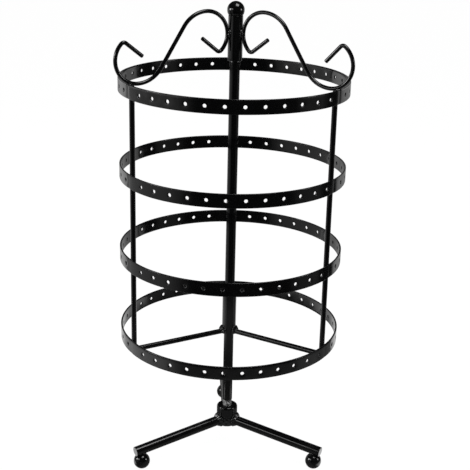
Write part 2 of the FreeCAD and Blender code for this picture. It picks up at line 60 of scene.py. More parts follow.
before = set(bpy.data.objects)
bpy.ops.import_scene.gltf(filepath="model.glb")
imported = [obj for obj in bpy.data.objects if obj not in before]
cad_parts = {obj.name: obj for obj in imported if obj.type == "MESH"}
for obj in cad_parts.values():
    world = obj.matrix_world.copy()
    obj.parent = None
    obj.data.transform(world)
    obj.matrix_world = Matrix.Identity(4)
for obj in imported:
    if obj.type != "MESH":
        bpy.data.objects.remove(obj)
CAD_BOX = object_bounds()

MM = 0.001
TIERS = (1, 2, 3, 4)
BAYS = (1, 2, 3)
BAY_ANGLE = 120.0
REAR_POST = 90.0
MERGE_DISTANCE = 2e-6
BALL_STEPS = 48
PHOTO_WIDTH = 470
SENSOR_WIDTH = 36.0


def azimuth(bay, rear=REAR_POST):
    """Azimuth of a bay's post, counted on from the rear one."""
    return rear + BAY_ANGLE * (bay - 1)


def half_width(node):
    """Half of a node's size along X: the radius of a turned piece on the shaft or of the rear post."""
    low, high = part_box(node)
    return (high.x - low.x) / 2


class StandSizes(bpy.types.PropertyGroup):
    """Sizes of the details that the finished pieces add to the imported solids."""

    strip_thickness: FloatProperty(
        name="Strip thickness", description="Thickness of the hoops' flat strip",
        default=1 * MM, min=0.4 * MM, unit="LENGTH")
    strip_edge: FloatProperty(
        name="Strip edge", description="Rounding of the strip's long edges under the paint",
        default=0.3 * MM, min=0.05 * MM, unit="LENGTH")
    hole_diameter: FloatProperty(
        name="Hole diameter", description="Punched hole for an earring's hook",
        default=2.7 * MM, min=1 * MM, unit="LENGTH")
    hole_pitch: FloatProperty(
        name="Hole pitch", description="Spacing of the holes along the strip",
        default=12.95 * MM, min=4 * MM, unit="LENGTH")
    row_gap: FloatProperty(
        name="Row gap", description="From a row's last hole to the next row's first, past a front post",
        default=21.5 * MM, min=4 * MM, unit="LENGTH")
    hoop_angles: FloatVectorProperty(
        name="Hoop angles", description="Turns of the hoops from the bottom one up",
        size=4, unit="ROTATION", default=[math.radians(angle) for angle in (3.0, 1.8, 2.6, 1.2)])
    paint: FloatProperty(
        name="Paint", description="Thickness of the enamel on the steel",
        default=0.12 * MM, min=0, unit="LENGTH")
    holes_per_row: IntProperty(
        name="Holes per row", description="Number of holes in a row", default=12, min=1)
    hole_dish: FloatProperty(
        name="Hole dish", description="Depth that the punch presses the strip in round a hole",
        default=0.07 * MM, min=0, unit="LENGTH")
    weld_pull: FloatProperty(
        name="Weld pull", description="Distance that a weld draws the strip in at a post",
        default=0.2 * MM, min=0, unit="LENGTH")
    seam_depth: FloatProperty(
        name="Seam depth", description="Depth of the painted butt seam behind the rear post",
        default=0.3 * MM, min=0, unit="LENGTH")
    cut_edge: FloatProperty(
        name="Cut edge", description="Rounding of sawn rod ends under the paint",
        default=0.4 * MM, min=0.05 * MM, unit="LENGTH")
    sleeve_bore: FloatProperty(
        name="Sleeve bore", description="Inside diameter of the two sleeves",
        default=7.16 * MM, min=1 * MM, unit="LENGTH")
    hub_round: FloatProperty(
        name="Hub rounding", description="Rounding of the hub's top edge",
        default=1.5 * MM, min=0.1 * MM, unit="LENGTH")
    thread_length: FloatProperty(
        name="Bare thread", description="Length of the shaft's threaded lower end",
        default=20 * MM, min=1 * MM, unit="LENGTH")
    thread_diameter: FloatProperty(
        name="Thread diameter", description="Outside diameter of the shaft's thread",
        default=6.8 * MM, min=1 * MM, unit="LENGTH")
    thread_pitch: FloatProperty(
        name="Thread pitch", description="Rise of the thread in one turn",
        default=1 * MM, min=0.2 * MM, unit="LENGTH")
    tip_round: FloatProperty(
        name="Tip rounding", description="Rounding of the shaft's tip under the finial",
        default=3 * MM, min=0.1 * MM, unit="LENGTH")
    leg_diameter: FloatProperty(
        name="Leg diameter", description="Diameter of the legs' rod",
        default=7 * MM, min=1 * MM, unit="LENGTH")
    leg_reach: FloatProperty(
        name="Leg reach", description="Distance of a leg's outer end from the shaft's axis",
        default=79 * MM, min=10 * MM, unit="LENGTH")
    leg_level: FloatProperty(
        name="Leg level", description="Height of a leg's axis where it would meet the shaft's axis",
        default=21.847 * MM, unit="LENGTH")
    leg_slope: FloatProperty(
        name="Leg slope", description="Fall of the legs", default=math.radians(5.425), subtype="ANGLE")
    leg_azimuth: FloatProperty(
        name="Leg azimuth", description="Azimuth of the rear leg",
        default=math.radians(92.8), subtype="ANGLE")
    foot_flat: FloatProperty(
        name="Foot flat", description="Diameter of the flat under a foot", default=4 * MM, unit="LENGTH")
    finial_spigot: FloatProperty(
        name="Finial spigot", description="Length of the finial's spigot in the sleeve",
        default=6 * MM, unit="LENGTH")


class ScrollSizes(bpy.types.PropertyGroup):
    """Sizes of the S-shaped scroll wires, in a plane through the shaft's axis."""

    wire: FloatProperty(name="Wire", description="Diameter of the wire", default=2.5 * MM, unit="LENGTH")
    loop: FloatProperty(
        name="Loop radius", description="Radius of both loops at the wire's centre",
        default=15.7 * MM, unit="LENGTH")
    bend: FloatProperty(
        name="Hook bend", description="Radius of the sharp bends at the hooks",
        default=2.5 * MM, unit="LENGTH")
    hook: FloatProperty(
        name="Hook length", description="Straight length of the hook ends", default=14.8 * MM, unit="LENGTH")
    slope: FloatProperty(
        name="Slope", description="Fall of the straight between the loops",
        default=math.radians(57.5), subtype="ANGLE")
    heading: FloatProperty(
        name="Hook heading", description="Angle of the hooks above level",
        default=math.radians(38), subtype="ANGLE")
    right_heading: FloatProperty(
        name="Right heading", description="Angle of the front right scroll's outer hook above level",
        default=math.radians(47), subtype="ANGLE")
    turn: FloatProperty(
        name="Hook turn", description="Turn of the sharp bends", default=math.radians(84), subtype="ANGLE")


class StandFinish(bpy.types.PropertyGroup):
    """Colours and gloss of the enamel and of the bare thread."""

    enamel: FloatVectorProperty(
        name="Enamel", description="Colour of the black enamel", subtype="COLOR",
        size=4, min=0, max=1, default=(0.0022, 0.0022, 0.0024, 1))
    dust: FloatVectorProperty(
        name="Dust", description="Colour of the fine dust on the enamel", subtype="COLOR",
        size=4, min=0, max=1, default=(0.035, 0.035, 0.035, 1))
    thin_paint: FloatVectorProperty(
        name="Thin paint", description="Colour of the enamel where it draws thin on an edge", subtype="COLOR",
        size=4, min=0, max=1, default=(0.012, 0.012, 0.0125, 1))
    gloss: FloatProperty(
        name="Roughness", description="Least roughness of the enamel", default=0.1, min=0, max=1)
    peel: FloatProperty(
        name="Peel depth", description="Depth of the enamel's orange peel", default=0.006 * MM, unit="LENGTH")
    steel: FloatVectorProperty(
        name="Bare steel", description="Colour of the bare thread", subtype="COLOR",
        size=4, min=0, max=1, default=(0.62, 0.62, 0.62, 1))
    # The stain also makes the thread's grooves darker
    stain: FloatVectorProperty(
        name="Stain", description="Colour of paint mist and grease on the thread", subtype="COLOR",
        size=4, min=0, max=1, default=(0.09, 0.09, 0.09, 1))


class StandStage(bpy.types.PropertyGroup):
    """Floor, lamps and camera of the studio."""

    floor: FloatVectorProperty(
        name="Floor", description="Colour of the floor", subtype="COLOR",
        size=4, min=0, max=1, default=(0.9, 0.9, 0.9, 1))
    top_lamp: FloatProperty(
        name="Top lamp", description="Power of the top lamp", default=7.0, unit="POWER")
    front_lamp: FloatProperty(
        name="Front lamp", description="Power of the front lamp", default=1.1, unit="POWER")
    left_lamp: FloatProperty(
        name="Left lamp", description="Power of the left lamp", default=3.5, unit="POWER")
    right_lamp: FloatProperty(
        name="Right lamp", description="Power of the right lamp", default=1.6, unit="POWER")
    camera_place: FloatVectorProperty(
        name="Camera", description="Place of the camera", subtype="TRANSLATION",
        size=3, default=(7.5 * MM, -715.2 * MM, 416.2 * MM))
    camera_pitch: FloatProperty(
        name="Pitch", description="Angle of the view below level",
        default=math.radians(18.963), subtype="ANGLE")
    camera_yaw: FloatProperty(
        name="Yaw", description="Turn of the view to the right",
        default=math.radians(-0.363), subtype="ANGLE")
    camera_roll: FloatProperty(
        name="Roll", description="Turn of the camera about its view",
        default=math.radians(-1.362), subtype="ANGLE")
    focal_pixels: FloatProperty(
        name="Focal length", description="Focal length in pixels of the photograph's width", default=1041.04)


def grid_faces(rows, columns, close_rows=False, close_columns=False):
    """Quads between neighbours of a grid of points; a closed way joins its last to its first."""
    index = np.arange(rows * columns).reshape(rows, columns)
    if close_rows:
        index = np.vstack([index, index[:1]])
    if close_columns:
        index = np.hstack([index, index[:, :1]])
    corners = (index[:-1, :-1], index[:-1, 1:], index[1:, 1:], index[1:, :-1])
    return np.stack(corners, axis=-1).reshape(-1, 4)


def surface(points, close_rows=False, close_columns=False, rim=0.0):
    """Grid of points as (points, faces, rim): rim is 1 on edges where paint draws thin and 0 elsewhere."""
    rows, columns = points.shape[:2]
    faces = grid_faces(rows, columns, close_rows, close_columns)
    rims = np.broadcast_to(np.asarray(rim, float), (rows, columns)).reshape(-1)
    return points.reshape(-1, 3), faces, rims


def circle(sides):
    """Cosines and sines of equal steps round a circle."""
    angle = np.linspace(0, 2 * math.pi, sides, endpoint=False)
    return np.cos(angle), np.sin(angle)


def swept(centers, radii, side, up, sides=36, rim=0.0):
    """Circles of radius r about a path's points: p + r (cos t side + sin t up). Radius 0 closes an end."""
    cosine, sine = circle(sides)
    ring = cosine[:, None] * np.asarray(side)[..., None, :] + sine[:, None] * np.asarray(up)[..., None, :]
    points = centers[:, None, :] + np.asarray(radii)[:, None, None] * ring
    rims = np.broadcast_to(np.asarray(rim, float), (len(centers),))[:, None]
    return surface(points, close_columns=True, rim=np.repeat(rims, sides, axis=1))


def end_rounds(length, radius, edge, steps=6):
    """Distances, radii and rims along a rod: each end is flat from 0 to r - e, then round an arc to r."""
    turn = np.linspace(0, math.pi / 2, steps)
    head = np.concatenate([[0, 0], edge * (1 - np.cos(turn)), [2 * edge]])
    width = np.concatenate([[0, 0.8 * (radius - edge)], radius - edge + edge * np.sin(turn), [radius]])
    rims = np.concatenate([[0, 0], np.sin(2 * turn) ** 2, [0]])
    distance = np.concatenate([head, length - head[::-1]])
    return distance, np.concatenate([width, width[::-1]]), np.concatenate([rims, rims[::-1]])


def square_axes(direction):
    """Two unit vectors square to a direction and to each other."""
    helper = np.array([0.0, 0.0, 1.0]) if abs(direction[2]) < 0.9 else np.array([1.0, 0.0, 0.0])
    side = np.cross(direction, helper)
    side /= np.linalg.norm(side)
    return side, np.cross(side, direction)


def rod(start, end, radius, edge, sides=40):
    """Straight round rod from start to end with its end edges rounded: circles carried along a line."""
    start, end = np.asarray(start, float), np.asarray(end, float)
    length = np.linalg.norm(end - start)
    direction = (end - start) / length
    distance, radii, rims = end_rounds(length, radius, edge)
    side, up = square_axes(direction)
    return swept(start + distance[:, None] * direction, radii, side, up, sides, rims)


def rounded_corner(before, corner, after, size, steps=7):
    """Parabola that leaves the corner's sides at a distance size: (1-t)^2 a + 2 t (1-t) p + t^2 b.

    A point on each side just before the parabola keeps the sides' shading straight.
    """
    before, corner, after = (np.asarray(point, float) for point in (before, corner, after))
    first = size * (before - corner) / np.linalg.norm(before - corner)
    last = size * (after - corner) / np.linalg.norm(after - corner)
    step = np.linspace(0, 1, steps)[:, None]
    curve = corner + (1 - step) ** 2 * first + step ** 2 * last
    return np.vstack([corner + 1.2 * first, curve, corner + 1.2 * last])


def any_phase(random):
    """Random angle for a wave to start at."""
    return random.uniform(0, 2 * math.pi)


def tube_profile(bore, outside, low, high, rounds, steps=7):
    """Section of a tube as (r, z): a rectangle whose corners are rounded, from the lower inner one on."""
    corners = [(bore, low), (outside, low), (outside, high), (bore, high)]
    return np.vstack([
        rounded_corner(corners[index - 1], corners[index], corners[(index + 1) % 4], rounds[index], steps)
        for index in range(4)
    ])


def ball_arc(ball, center, start):
    """Section of a ball as (r, z): an arc from an angle up to its top."""
    turn = np.linspace(start, math.pi / 2, BALL_STEPS)
    return np.stack([ball * np.cos(turn), center + ball * np.sin(turn)], axis=-1)


def lathe(profile, closed=False, sides=64, rim=0.0):
    """Surface of revolution about the shaft's axis: (r cos t, r sin t, z) for the profile's points (r, z)."""
    profile = np.asarray(profile, float)
    cosine, sine = circle(sides)
    radius, height = profile[:, :1], profile[:, 1:]
    points = np.stack([radius * cosine, radius * sine, height + 0 * cosine], axis=-1)
    rims = np.broadcast_to(np.asarray(rim, float), (len(profile),))[:, None]
    return surface(points, close_rows=closed, close_columns=True, rim=np.repeat(rims, sides, axis=1))


def moved(part, offset):
    """A surface shifted by an offset."""
    points, faces, rims = part
    return points + np.asarray(offset), faces, rims


def flattened(part, floor):
    """A surface pressed up at its underside: z under the floor becomes floor - (floor - z) / 10."""
    points, faces, rims = part
    level = np.where(points[:, 2] < floor, floor - (floor - points[:, 2]) / 10, points[:, 2])
    return np.column_stack([points[:, :2], level]), faces, rims


def turned(part, degrees):
    """A surface turned about the shaft's axis."""
    points, faces, rims = part
    cosine, sine = math.cos(math.radians(degrees)), math.sin(math.radians(degrees))
    matrix = np.array([[cosine, sine, 0], [-sine, cosine, 0], [0, 0, 1]])
    return points @ matrix, faces, rims


def make_piece(name, parts, material, body, nodes=()):
    """Join surfaces into one closed, smooth object at the origin that rides on a body and replaces nodes."""
    counts = np.cumsum([0] + [len(points) for points, _, _ in parts])
    points = np.vstack([part[0] for part in parts])
    faces = np.vstack([part[1] + start for part, start in zip(parts, counts)])
    rims = np.concatenate([part[2] for part in parts]).astype(np.float32)
    mesh = bpy.data.meshes.new(name)
    mesh.from_pydata(points.tolist(), [], faces.tolist())
    mesh.attributes.new("rim", "FLOAT", "POINT").data.foreach_set("value", rims)
    work = bmesh.new()
    work.from_mesh(mesh)
    bmesh.ops.remove_doubles(work, verts=work.verts, dist=MERGE_DISTANCE)
    bmesh.ops.dissolve_degenerate(work, edges=work.edges, dist=MERGE_DISTANCE / 4)
    bmesh.ops.recalc_face_normals(work, faces=work.faces)
    open_edges = sum(1 for edge in work.edges if len(edge.link_faces) != 2)
    work.to_mesh(mesh)
    work.free()
    if open_edges:
        raise RuntimeError("%s has %d open or crossed edges" % (name, open_edges))
    mesh.polygons.foreach_set("use_smooth", np.ones(len(mesh.polygons), bool))
    mesh.materials.append(material)
    piece = bpy.data.objects.new(name, mesh)
    bpy.context.scene.collection.objects.link(piece)
    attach(piece, body)
    if nodes:
        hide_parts(*nodes)
    return piece


def feed(tree, socket, value):
    """Link an input socket to another node's output, or set it to a plain value."""
    if isinstance(value, bpy.types.NodeSocket):
        tree.links.new(value, socket)
    else:
        socket.default_value = value


def add_node(tree, kind, settings=(), inputs=()):
    """Add a shader node with its settings and its inputs, each a plain value or another node's output."""
    made = tree.nodes.new(kind)
    for name, value in dict(settings).items():
        setattr(made, name, value)
    for name, value in dict(inputs).items():
        feed(tree, made.inputs[name], value)
    return made


def new_group(name, inputs, outputs):
    """Empty shader node group with named inputs and float outputs, and its input and output nodes."""
    tree = bpy.data.node_groups.new(name, "ShaderNodeTree")
    for socket, kind, value in inputs:
        made = tree.interface.new_socket(socket, in_out="INPUT", socket_type=kind)
        if value is not None:
            made.default_value = value
    for socket in outputs:
        tree.interface.new_socket(socket, in_out="OUTPUT", socket_type="NodeSocketFloat")
    return tree, tree.nodes.new("NodeGroupInput"), tree.nodes.new("NodeGroupOutput")


def noise(tree, vector, scale, detail=2.0, rough=0.5):
    """Noise texture, whose scale is a number or a socket."""
    inputs = {"Vector": vector, "Scale": scale, "Detail": detail, "Roughness": rough}
    return add_node(tree, "ShaderNodeTexNoise", inputs=inputs).outputs["Fac"]


def ramp(tree, value, low, high, start=0.0, end=1.0):
    """Smooth step of a value from low to high, put out between start and end."""
    settings = {"interpolation_type": "SMOOTHSTEP"}
    inputs = {"Value": value, "From Min": low, "From Max": high, "To Min": start, "To Max": end}
    return add_node(tree, "ShaderNodeMapRange", settings, inputs).outputs["Result"]


def maths(tree, operation, *values):
    """Math node of two sockets or numbers; more than two are taken one after the other."""
    total = values[0]
    for value in values[1:]:
        made = add_node(tree, "ShaderNodeMath", {"operation": operation}, {0: total, 1: value})
        total = made.outputs["Value"]
    return total


def absolute(tree, value):
    """Math node for a value without its sign."""
    return add_node(tree, "ShaderNodeMath", {"operation": "ABSOLUTE"}, {0: value}).outputs["Value"]


def paint_flow_group():
    """Sprayed enamel: orange peel and slower runs as a height, and a patchy roughness between 0 and 1."""
    inputs = (("Vector", "NodeSocketVector", None), ("Peel Scale", "NodeSocketFloat", 450.0),
              ("Run Scale", "NodeSocketFloat", 90.0))
    tree, given, result = new_group("paint_flow", inputs, ("Height", "Haze"))
    vector = given.outputs["Vector"]
    peel = noise(tree, vector, given.outputs["Peel Scale"], 1.5, 0.4)
    runs = noise(tree, vector, given.outputs["Run Scale"], 1.0, 0.4)
    height = maths(tree, "ADD", peel, maths(tree, "MULTIPLY", runs, 2.5))
    haze = ramp(tree, noise(tree, vector, given.outputs["Run Scale"], 4.0, 0.6), 0.35, 0.75)
    tree.links.new(height, result.inputs["Height"])
    tree.links.new(haze, result.inputs["Haze"])
    return tree


def dust_group():
    """Fine dust: specks and a faint film on faces that look up, as a mask."""
    inputs = (("Vector", "NodeSocketVector", None), ("Speck Scale", "NodeSocketFloat", 1400.0),
              ("Amount", "NodeSocketFloat", 0.3))
    tree, given, result = new_group("settled_dust", inputs, ("Mask",))
    vector = given.outputs["Vector"]
    normal = add_node(tree, "ShaderNodeNewGeometry").outputs["Normal"]
    upward = add_node(tree, "ShaderNodeSeparateXYZ", inputs={"Vector": normal}).outputs["Z"]
    specks = ramp(tree, noise(tree, vector, given.outputs["Speck Scale"], 3.0, 0.7), 0.62, 0.72)
    film = ramp(tree, noise(tree, vector, 160.0, 3.0), 0.4, 0.8, 0.0, 0.35)
    mask = maths(tree, "MULTIPLY", maths(tree, "ADD", specks, film), ramp(tree, upward, 0.1, 0.9),
                 given.outputs["Amount"])
    tree.links.new(mask, result.inputs["Mask"])
    return tree


def edge_group():
    """Edges where the paint draws thin: the piece's rim attribute broken up by noise, as a mask."""
    inputs = (("Vector", "NodeSocketVector", None), ("Rim", "NodeSocketFloat", 0.0),
              ("Break Scale", "NodeSocketFloat", 700.0))
    tree, given, result = new_group("thin_edges", inputs, ("Mask",))
    breaks = noise(tree, given.outputs["Vector"], given.outputs["Break Scale"], 3.0, 0.6)
    mask = maths(tree, "MULTIPLY", given.outputs["Rim"], ramp(tree, breaks, 0.38, 0.62))
    tree.links.new(mask, result.inputs["Mask"])
    return tree


def place_group(tree, name, build, inputs):
    """Node group by name, built on first use, placed in a material with its own inputs."""
    group = bpy.data.node_groups.get(name) or build()
    return add_node(tree, "ShaderNodeGroup", {"node_tree": group}, inputs)


def new_material(name):
    """Material with its shader, output and Object coordinates."""
    material = bpy.data.materials.new(name)
    material.use_nodes = True
    tree = material.node_tree
    tree.nodes.clear()
    shader = tree.nodes.new("ShaderNodeBsdfPrincipled")
    output = tree.nodes.new("ShaderNodeOutputMaterial")
    tree.links.new(shader.outputs["BSDF"], output.inputs["Surface"])
    place = tree.nodes.new("ShaderNodeTexCoord").outputs["Object"]
    return material, tree, shader, place


def mixed(tree, mask, first, second):
    """Colour between two colours or sockets by a mask."""
    made = add_node(tree, "ShaderNodeMix", {"data_type": "RGBA"}, {"Factor": mask})
    sockets = [socket for socket in made.inputs if socket.type == "RGBA"]
    for socket, value in zip(sockets, (first, second)):
        feed(tree, socket, value)
    return [socket for socket in made.outputs if socket.type == "RGBA"][0]


def rim_value(tree):
    """The piece's rim attribute: 1 on edges where paint draws thin."""
    return add_node(tree, "ShaderNodeAttribute", {"attribute_name": "rim"}).outputs["Fac"]


def bump_normal(tree, height, depth):
    """Normal of a surface with a height that is worth a depth in metres."""
    made = add_node(tree, "ShaderNodeBump", inputs={"Strength": 1.0, "Distance": depth, "Height": height})
    return made.outputs["Normal"]


# The enamel on each kind of piece, where it differs from that on the rods: scales of the orange peel and of
# the runs per metre, depth of the peel in the finish's own, dust, patchy roughness and index of refraction
ENAMELS = {
    "enamel_rod": {"peel_scale": 450.0, "run_scale": 90.0, "peel": 1.0, "dust": 0.3, "haze": 0.1,
                   "index": 1.5},
    "enamel_strip": {"peel_scale": 380.0, "run_scale": 110.0, "peel": 1.4, "dust": 0.25, "haze": 0.12},
    "enamel_ball": {"peel_scale": 300.0, "run_scale": 70.0},
    "enamel_hub": {"peel_scale": 520.0, "run_scale": 260.0, "peel": 9.0},
    "enamel_weld": {"peel_scale": 900.0, "run_scale": 320.0, "peel": 16.0, "dust": 0.4, "haze": 0.02,
                    "index": 1.8},
}
WORN_ROUGHNESS = 0.15
THREAD_ROUGH = 0.01 * MM


def enamel(name):
    """Black gloss enamel with orange peel, patchy gloss, fine dust and thin edges."""
    ready = bpy.data.materials.get(name)
    if ready:
        return ready
    look = {**ENAMELS["enamel_rod"], **ENAMELS[name]}
    finish = bpy.context.scene.stand_finish
    material, tree, shader, place = new_material(name)
    flow = place_group(tree, "paint_flow", paint_flow_group, {
        "Vector": place, "Peel Scale": look["peel_scale"], "Run Scale": look["run_scale"]})
    specks = place_group(tree, "settled_dust", dust_group, {"Vector": place, "Amount": look["dust"]})
    edges = place_group(tree, "thin_edges", edge_group, {"Vector": place, "Rim": rim_value(tree)})
    colour = mixed(tree, edges.outputs["Mask"], tuple(finish.enamel), tuple(finish.thin_paint))
    colour = mixed(tree, specks.outputs["Mask"], colour, tuple(finish.dust))
    tree.links.new(colour, shader.inputs["Base Color"])
    rough = ramp(tree, flow.outputs["Haze"], 0.0, 1.0, finish.gloss, finish.gloss + look["haze"])
    worn = maths(tree, "ADD", edges.outputs["Mask"], specks.outputs["Mask"])
    rough = maths(tree, "ADD", rough, maths(tree, "MULTIPLY", worn, WORN_ROUGHNESS))
    tree.links.new(rough, shader.inputs["Roughness"])
    normal = bump_normal(tree, flow.outputs["Height"], finish.peel * look["peel"])
    tree.links.new(normal, shader.inputs["Normal"])
    shader.inputs["IOR"].default_value = look["index"]
    return material


def bare_thread():
    """Bare steel thread with paint mist, darker grooves and a patchy gloss."""
    finish = bpy.context.scene.stand_finish
    material, tree, shader, place = new_material("bare_thread")
    edges = place_group(tree, "thin_edges", edge_group, {
        "Vector": place, "Break Scale": 420.0, "Rim": rim_value(tree)})
    patches = ramp(tree, noise(tree, place, 380.0, 4.0, 0.65), 0.4, 0.68)
    mist_and_dark_grooves = maths(tree, "MAXIMUM", edges.outputs["Mask"], patches)
    colour = mixed(tree, mist_and_dark_grooves, tuple(finish.steel), tuple(finish.stain))
    tree.links.new(colour, shader.inputs["Base Color"])
    tree.links.new(ramp(tree, mist_and_dark_grooves, 0.0, 1.0, 0.5, 0.7), shader.inputs["Roughness"])
    shader.inputs["Metallic"].default_value = 1.0
    flow = place_group(tree, "paint_flow", paint_flow_group, {
        "Vector": place, "Peel Scale": 2200.0, "Run Scale": 700.0})
    tree.links.new(bump_normal(tree, flow.outputs["Height"], THREAD_ROUGH), shader.inputs["Normal"])
    return material


# Hoops: steps round a hole's cell, rings on its faces, lips and dish of a hole, and strip at the posts
HOLE_COLUMNS = 12
HOLE_ROWS = 8
FACE_BLENDS = np.array([1, 0.6, 0.3, 0.12, 0.03, 0.0])
LIP_CLEAR = 1.3
OUTER_LIP = 0.4 * MM
INNER_LIP = 0.2 * MM
DISH_REACH = 1.2 * MM
GAP_STEPS = 14
GAP_SPREAD = 1.8
POST_MARGIN = 2 * MM
SEAM_WIDTH = 0.25 * MM
# Waves of the hoops out of round: count round the hoop and size
HOOP_WAVES = ((2, 0.16 * MM), (3, 0.12 * MM), (5, 0.07 * MM), (8, 0.035 * MM), (13, 0.012 * MM))
HOOP_LIFT = 0.1 * MM
# Strip drawn in at a weld: how far along the strip, and the rounding in the middle
PULL_REACH = 4 * MM
PULL_ROUND = 0.4 * MM
HOOP_SEED = 40


def painted_strip(sizes):
    """Thickness of the strip with the paint on both faces."""
    return sizes.strip_thickness + 2 * sizes.paint


def hole_cell(sizes, half_pitch, half_flat):
    """One hole's cell of flat strip as along, across, depth and rim: rings from the cell's edge to the hole.

    A ring's point is (1 - w) rho (cos t, sin t) + w rectangle(t). The depth is 0 on the outer face, a
    quarter round into the hole, the wall, a smaller quarter round and the thickness on the inner face.
    """
    side = np.linspace(-1, 1, HOLE_ROWS, endpoint=False)
    level = np.linspace(1, -1, HOLE_COLUMNS, endpoint=False)
    along = np.concatenate([1 + 0 * side, level, -1 + 0 * side, -level]) * half_pitch
    across = np.concatenate([side, 1 + 0 * level, -side, -1 + 0 * level]) * half_flat
    rectangle = np.stack([along, across], axis=-1)
    unit = rectangle / np.linalg.norm(rectangle, axis=1, keepdims=True)
    hole = sizes.hole_diameter / 2 - sizes.paint
    turn = np.linspace(0, math.pi / 2, 4)
    halves = []
    for sign, start, lip in ((1, 0.0, OUTER_LIP), (-1, painted_strip(sizes), INNER_LIP)):
        face = 0 * FACE_BLENDS
        halves.append(np.stack([
            np.concatenate([FACE_BLENDS, 0 * turn]),
            np.concatenate([face + hole + LIP_CLEAR * lip, hole + lip * (1 - np.sin(turn))]),
            np.concatenate([face + start, start + sign * lip * (1 - np.cos(turn))]),
            np.concatenate([face, np.sin(turn) ** 2]),
        ]))
    blend, radius, depth, rim = np.hstack([halves[0], halves[1][:, ::-1]])[:, :, None]
    flat = (1 - blend)[..., None] * radius[..., None] * unit + blend[..., None] * rectangle
    away = np.linalg.norm(flat, axis=-1) - hole
    dish = sizes.hole_dish * np.exp(-(away / DISH_REACH) ** 2)
    return flat[..., 0], flat[..., 1], depth + dish, rim + 0 * along


def edge_profile(sizes, half_flat):
    """Section over the strip's edge as depth, height and rim: two quarter rounds from face to face."""
    edge, thick = sizes.strip_edge, painted_strip(sizes)
    turn = np.linspace(0, math.pi / 2, 5)
    depth = np.concatenate([edge - edge * np.cos(turn), thick - edge + edge * np.sin(turn)])
    rim = np.concatenate([np.sin(turn), np.cos(turn)])
    return depth, half_flat + edge * rim, rim


def hoop_wrap(tier, sizes):
    """Function that rolls flat strip (along, across, depth) into a hoop, with its radius and height.

    The hoop is a little out of round and drawn in at the posts: its radius is R - depth + sum a cos(k t + p)
    - pull sum exp(-d / reach), with d the distance to a post.
    """
    low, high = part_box("hoop_%d" % tier)
    radius, middle = high.x + sizes.paint, (low.z + high.z) / 2
    random = np.random.default_rng(HOOP_SEED + tier)
    phases = random.uniform(0, 2 * math.pi, len(HOOP_WAVES))
    lift_phase = any_phase(random)

    def wrap(along, across, depth):
        angle = along / radius
        reach = radius - depth
        for (count, size), phase in zip(HOOP_WAVES, phases):
            reach = reach + size * np.cos(count * angle + phase)
        for bay in BAYS:
            turn = angle - math.radians(azimuth(bay))
            off = radius * np.abs((turn + math.pi) % (2 * math.pi) - math.pi)
            reach = reach - sizes.weld_pull * np.exp(-np.hypot(off, PULL_ROUND) / PULL_REACH)
        lift = HOOP_LIFT * np.cos(2 * angle + lift_phase)
        places = (reach * np.cos(angle), reach * np.sin(angle), middle + across + lift)
        return np.stack(np.broadcast_arrays(*places), axis=-1)

    return wrap, radius, high.z - low.z + 2 * sizes.paint


def seam_dent(sizes, off):
    """Depth of the butt seam at a distance from its middle: a narrow bell."""
    return sizes.seam_depth * np.exp(-(off / SEAM_WIDTH) ** 2)


def hoop(tier):
    """Hoop of flat strip: hole cells, plain strip at the posts and two long edges, all rolled to a radius."""
    sizes = bpy.context.scene.stand_sizes
    wrap, radius, height = hoop_wrap(tier, sizes)
    half_pitch = sizes.hole_pitch / 2
    half_flat = height / 2 - sizes.strip_edge
    count = sizes.holes_per_row
    span = sizes.hole_pitch * (count - 1)
    front = radius * (math.radians(azimuth(1)) + math.pi + sizes.hoop_angles[tier - 1])
    starts = front - span / 2 + (span + sizes.row_gap) * np.arange(-1, 2)
    centers = (starts[:, None] + sizes.hole_pitch * np.arange(count)).reshape(-1)
    along, across, depth, rim = hole_cell(sizes, half_pitch, half_flat)
    rows, columns = along.shape
    cells = wrap(centers[:, None, None] + along, across + 0 * centers[:, None, None], depth)
    base = grid_faces(rows, columns, close_columns=True)
    faces = (base + rows * columns * np.arange(len(centers))[:, None, None]).reshape(-1, 4)
    parts = [(cells.reshape(-1, 3), faces, np.tile(rim.reshape(-1), len(centers)))]
    step = np.linspace(0, 1, GAP_STEPS) ** GAP_SPREAD
    cross = half_flat * np.linspace(-1, 1, HOLE_ROWS + 1)
    edge_along = []
    for bay in BAYS:
        left = starts[bay - 2] + span + half_pitch
        left -= 2 * math.pi * radius if bay == 1 else 0
        right = starts[bay - 1] - half_pitch
        post = np.clip(radius * math.radians(azimuth(bay)), left + POST_MARGIN, right - POST_MARGIN)
        gap = np.concatenate([post - (post - left) * step[::-1], post + (right - post) * step[1:]])
        seam = seam_dent(sizes, gap - post) * (bay == 1)
        for face_depth in (seam, painted_strip(sizes) + 0 * seam):
            parts.append(surface(wrap(gap[:, None], cross + 0 * gap[:, None], face_depth[:, None])))
        reach = np.linspace(right, right + sizes.hole_pitch * count, HOLE_COLUMNS * count, endpoint=False)
        edge_along.append(np.concatenate([gap[:-1], reach]))
    edge_along = np.concatenate(edge_along)
    edge_depth, edge_height, edge_rim = edge_profile(sizes, half_flat)
    seam = seam_dent(sizes, edge_along - radius * math.radians(REAR_POST))
    share = 1 - edge_depth / edge_depth[-1]
    for sign in (1, -1):
        band = wrap(edge_along[:, None], sign * edge_height + 0 * edge_along[:, None],
                    edge_depth + seam[:, None] * share)
        parts.append(surface(band, close_rows=True, rim=np.tile(edge_rim, (len(edge_along), 1))))
    return parts


# Scroll wires: steps along each stretch of the centre line
SHOULDER_STEPS = 32
LOOP_STEPS = 60
BEND_STEPS = 18
HOOK_STEPS = 12


def loop_centers(sizes):
    """Radius and height of the inner and outer loops' centres, from the rear scroll's box."""
    low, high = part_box("scroll_1")
    outside = sizes.loop + sizes.wire / 2
    return np.array([(low.y + outside, high.z - outside), (high.y - outside, low.z + outside)])


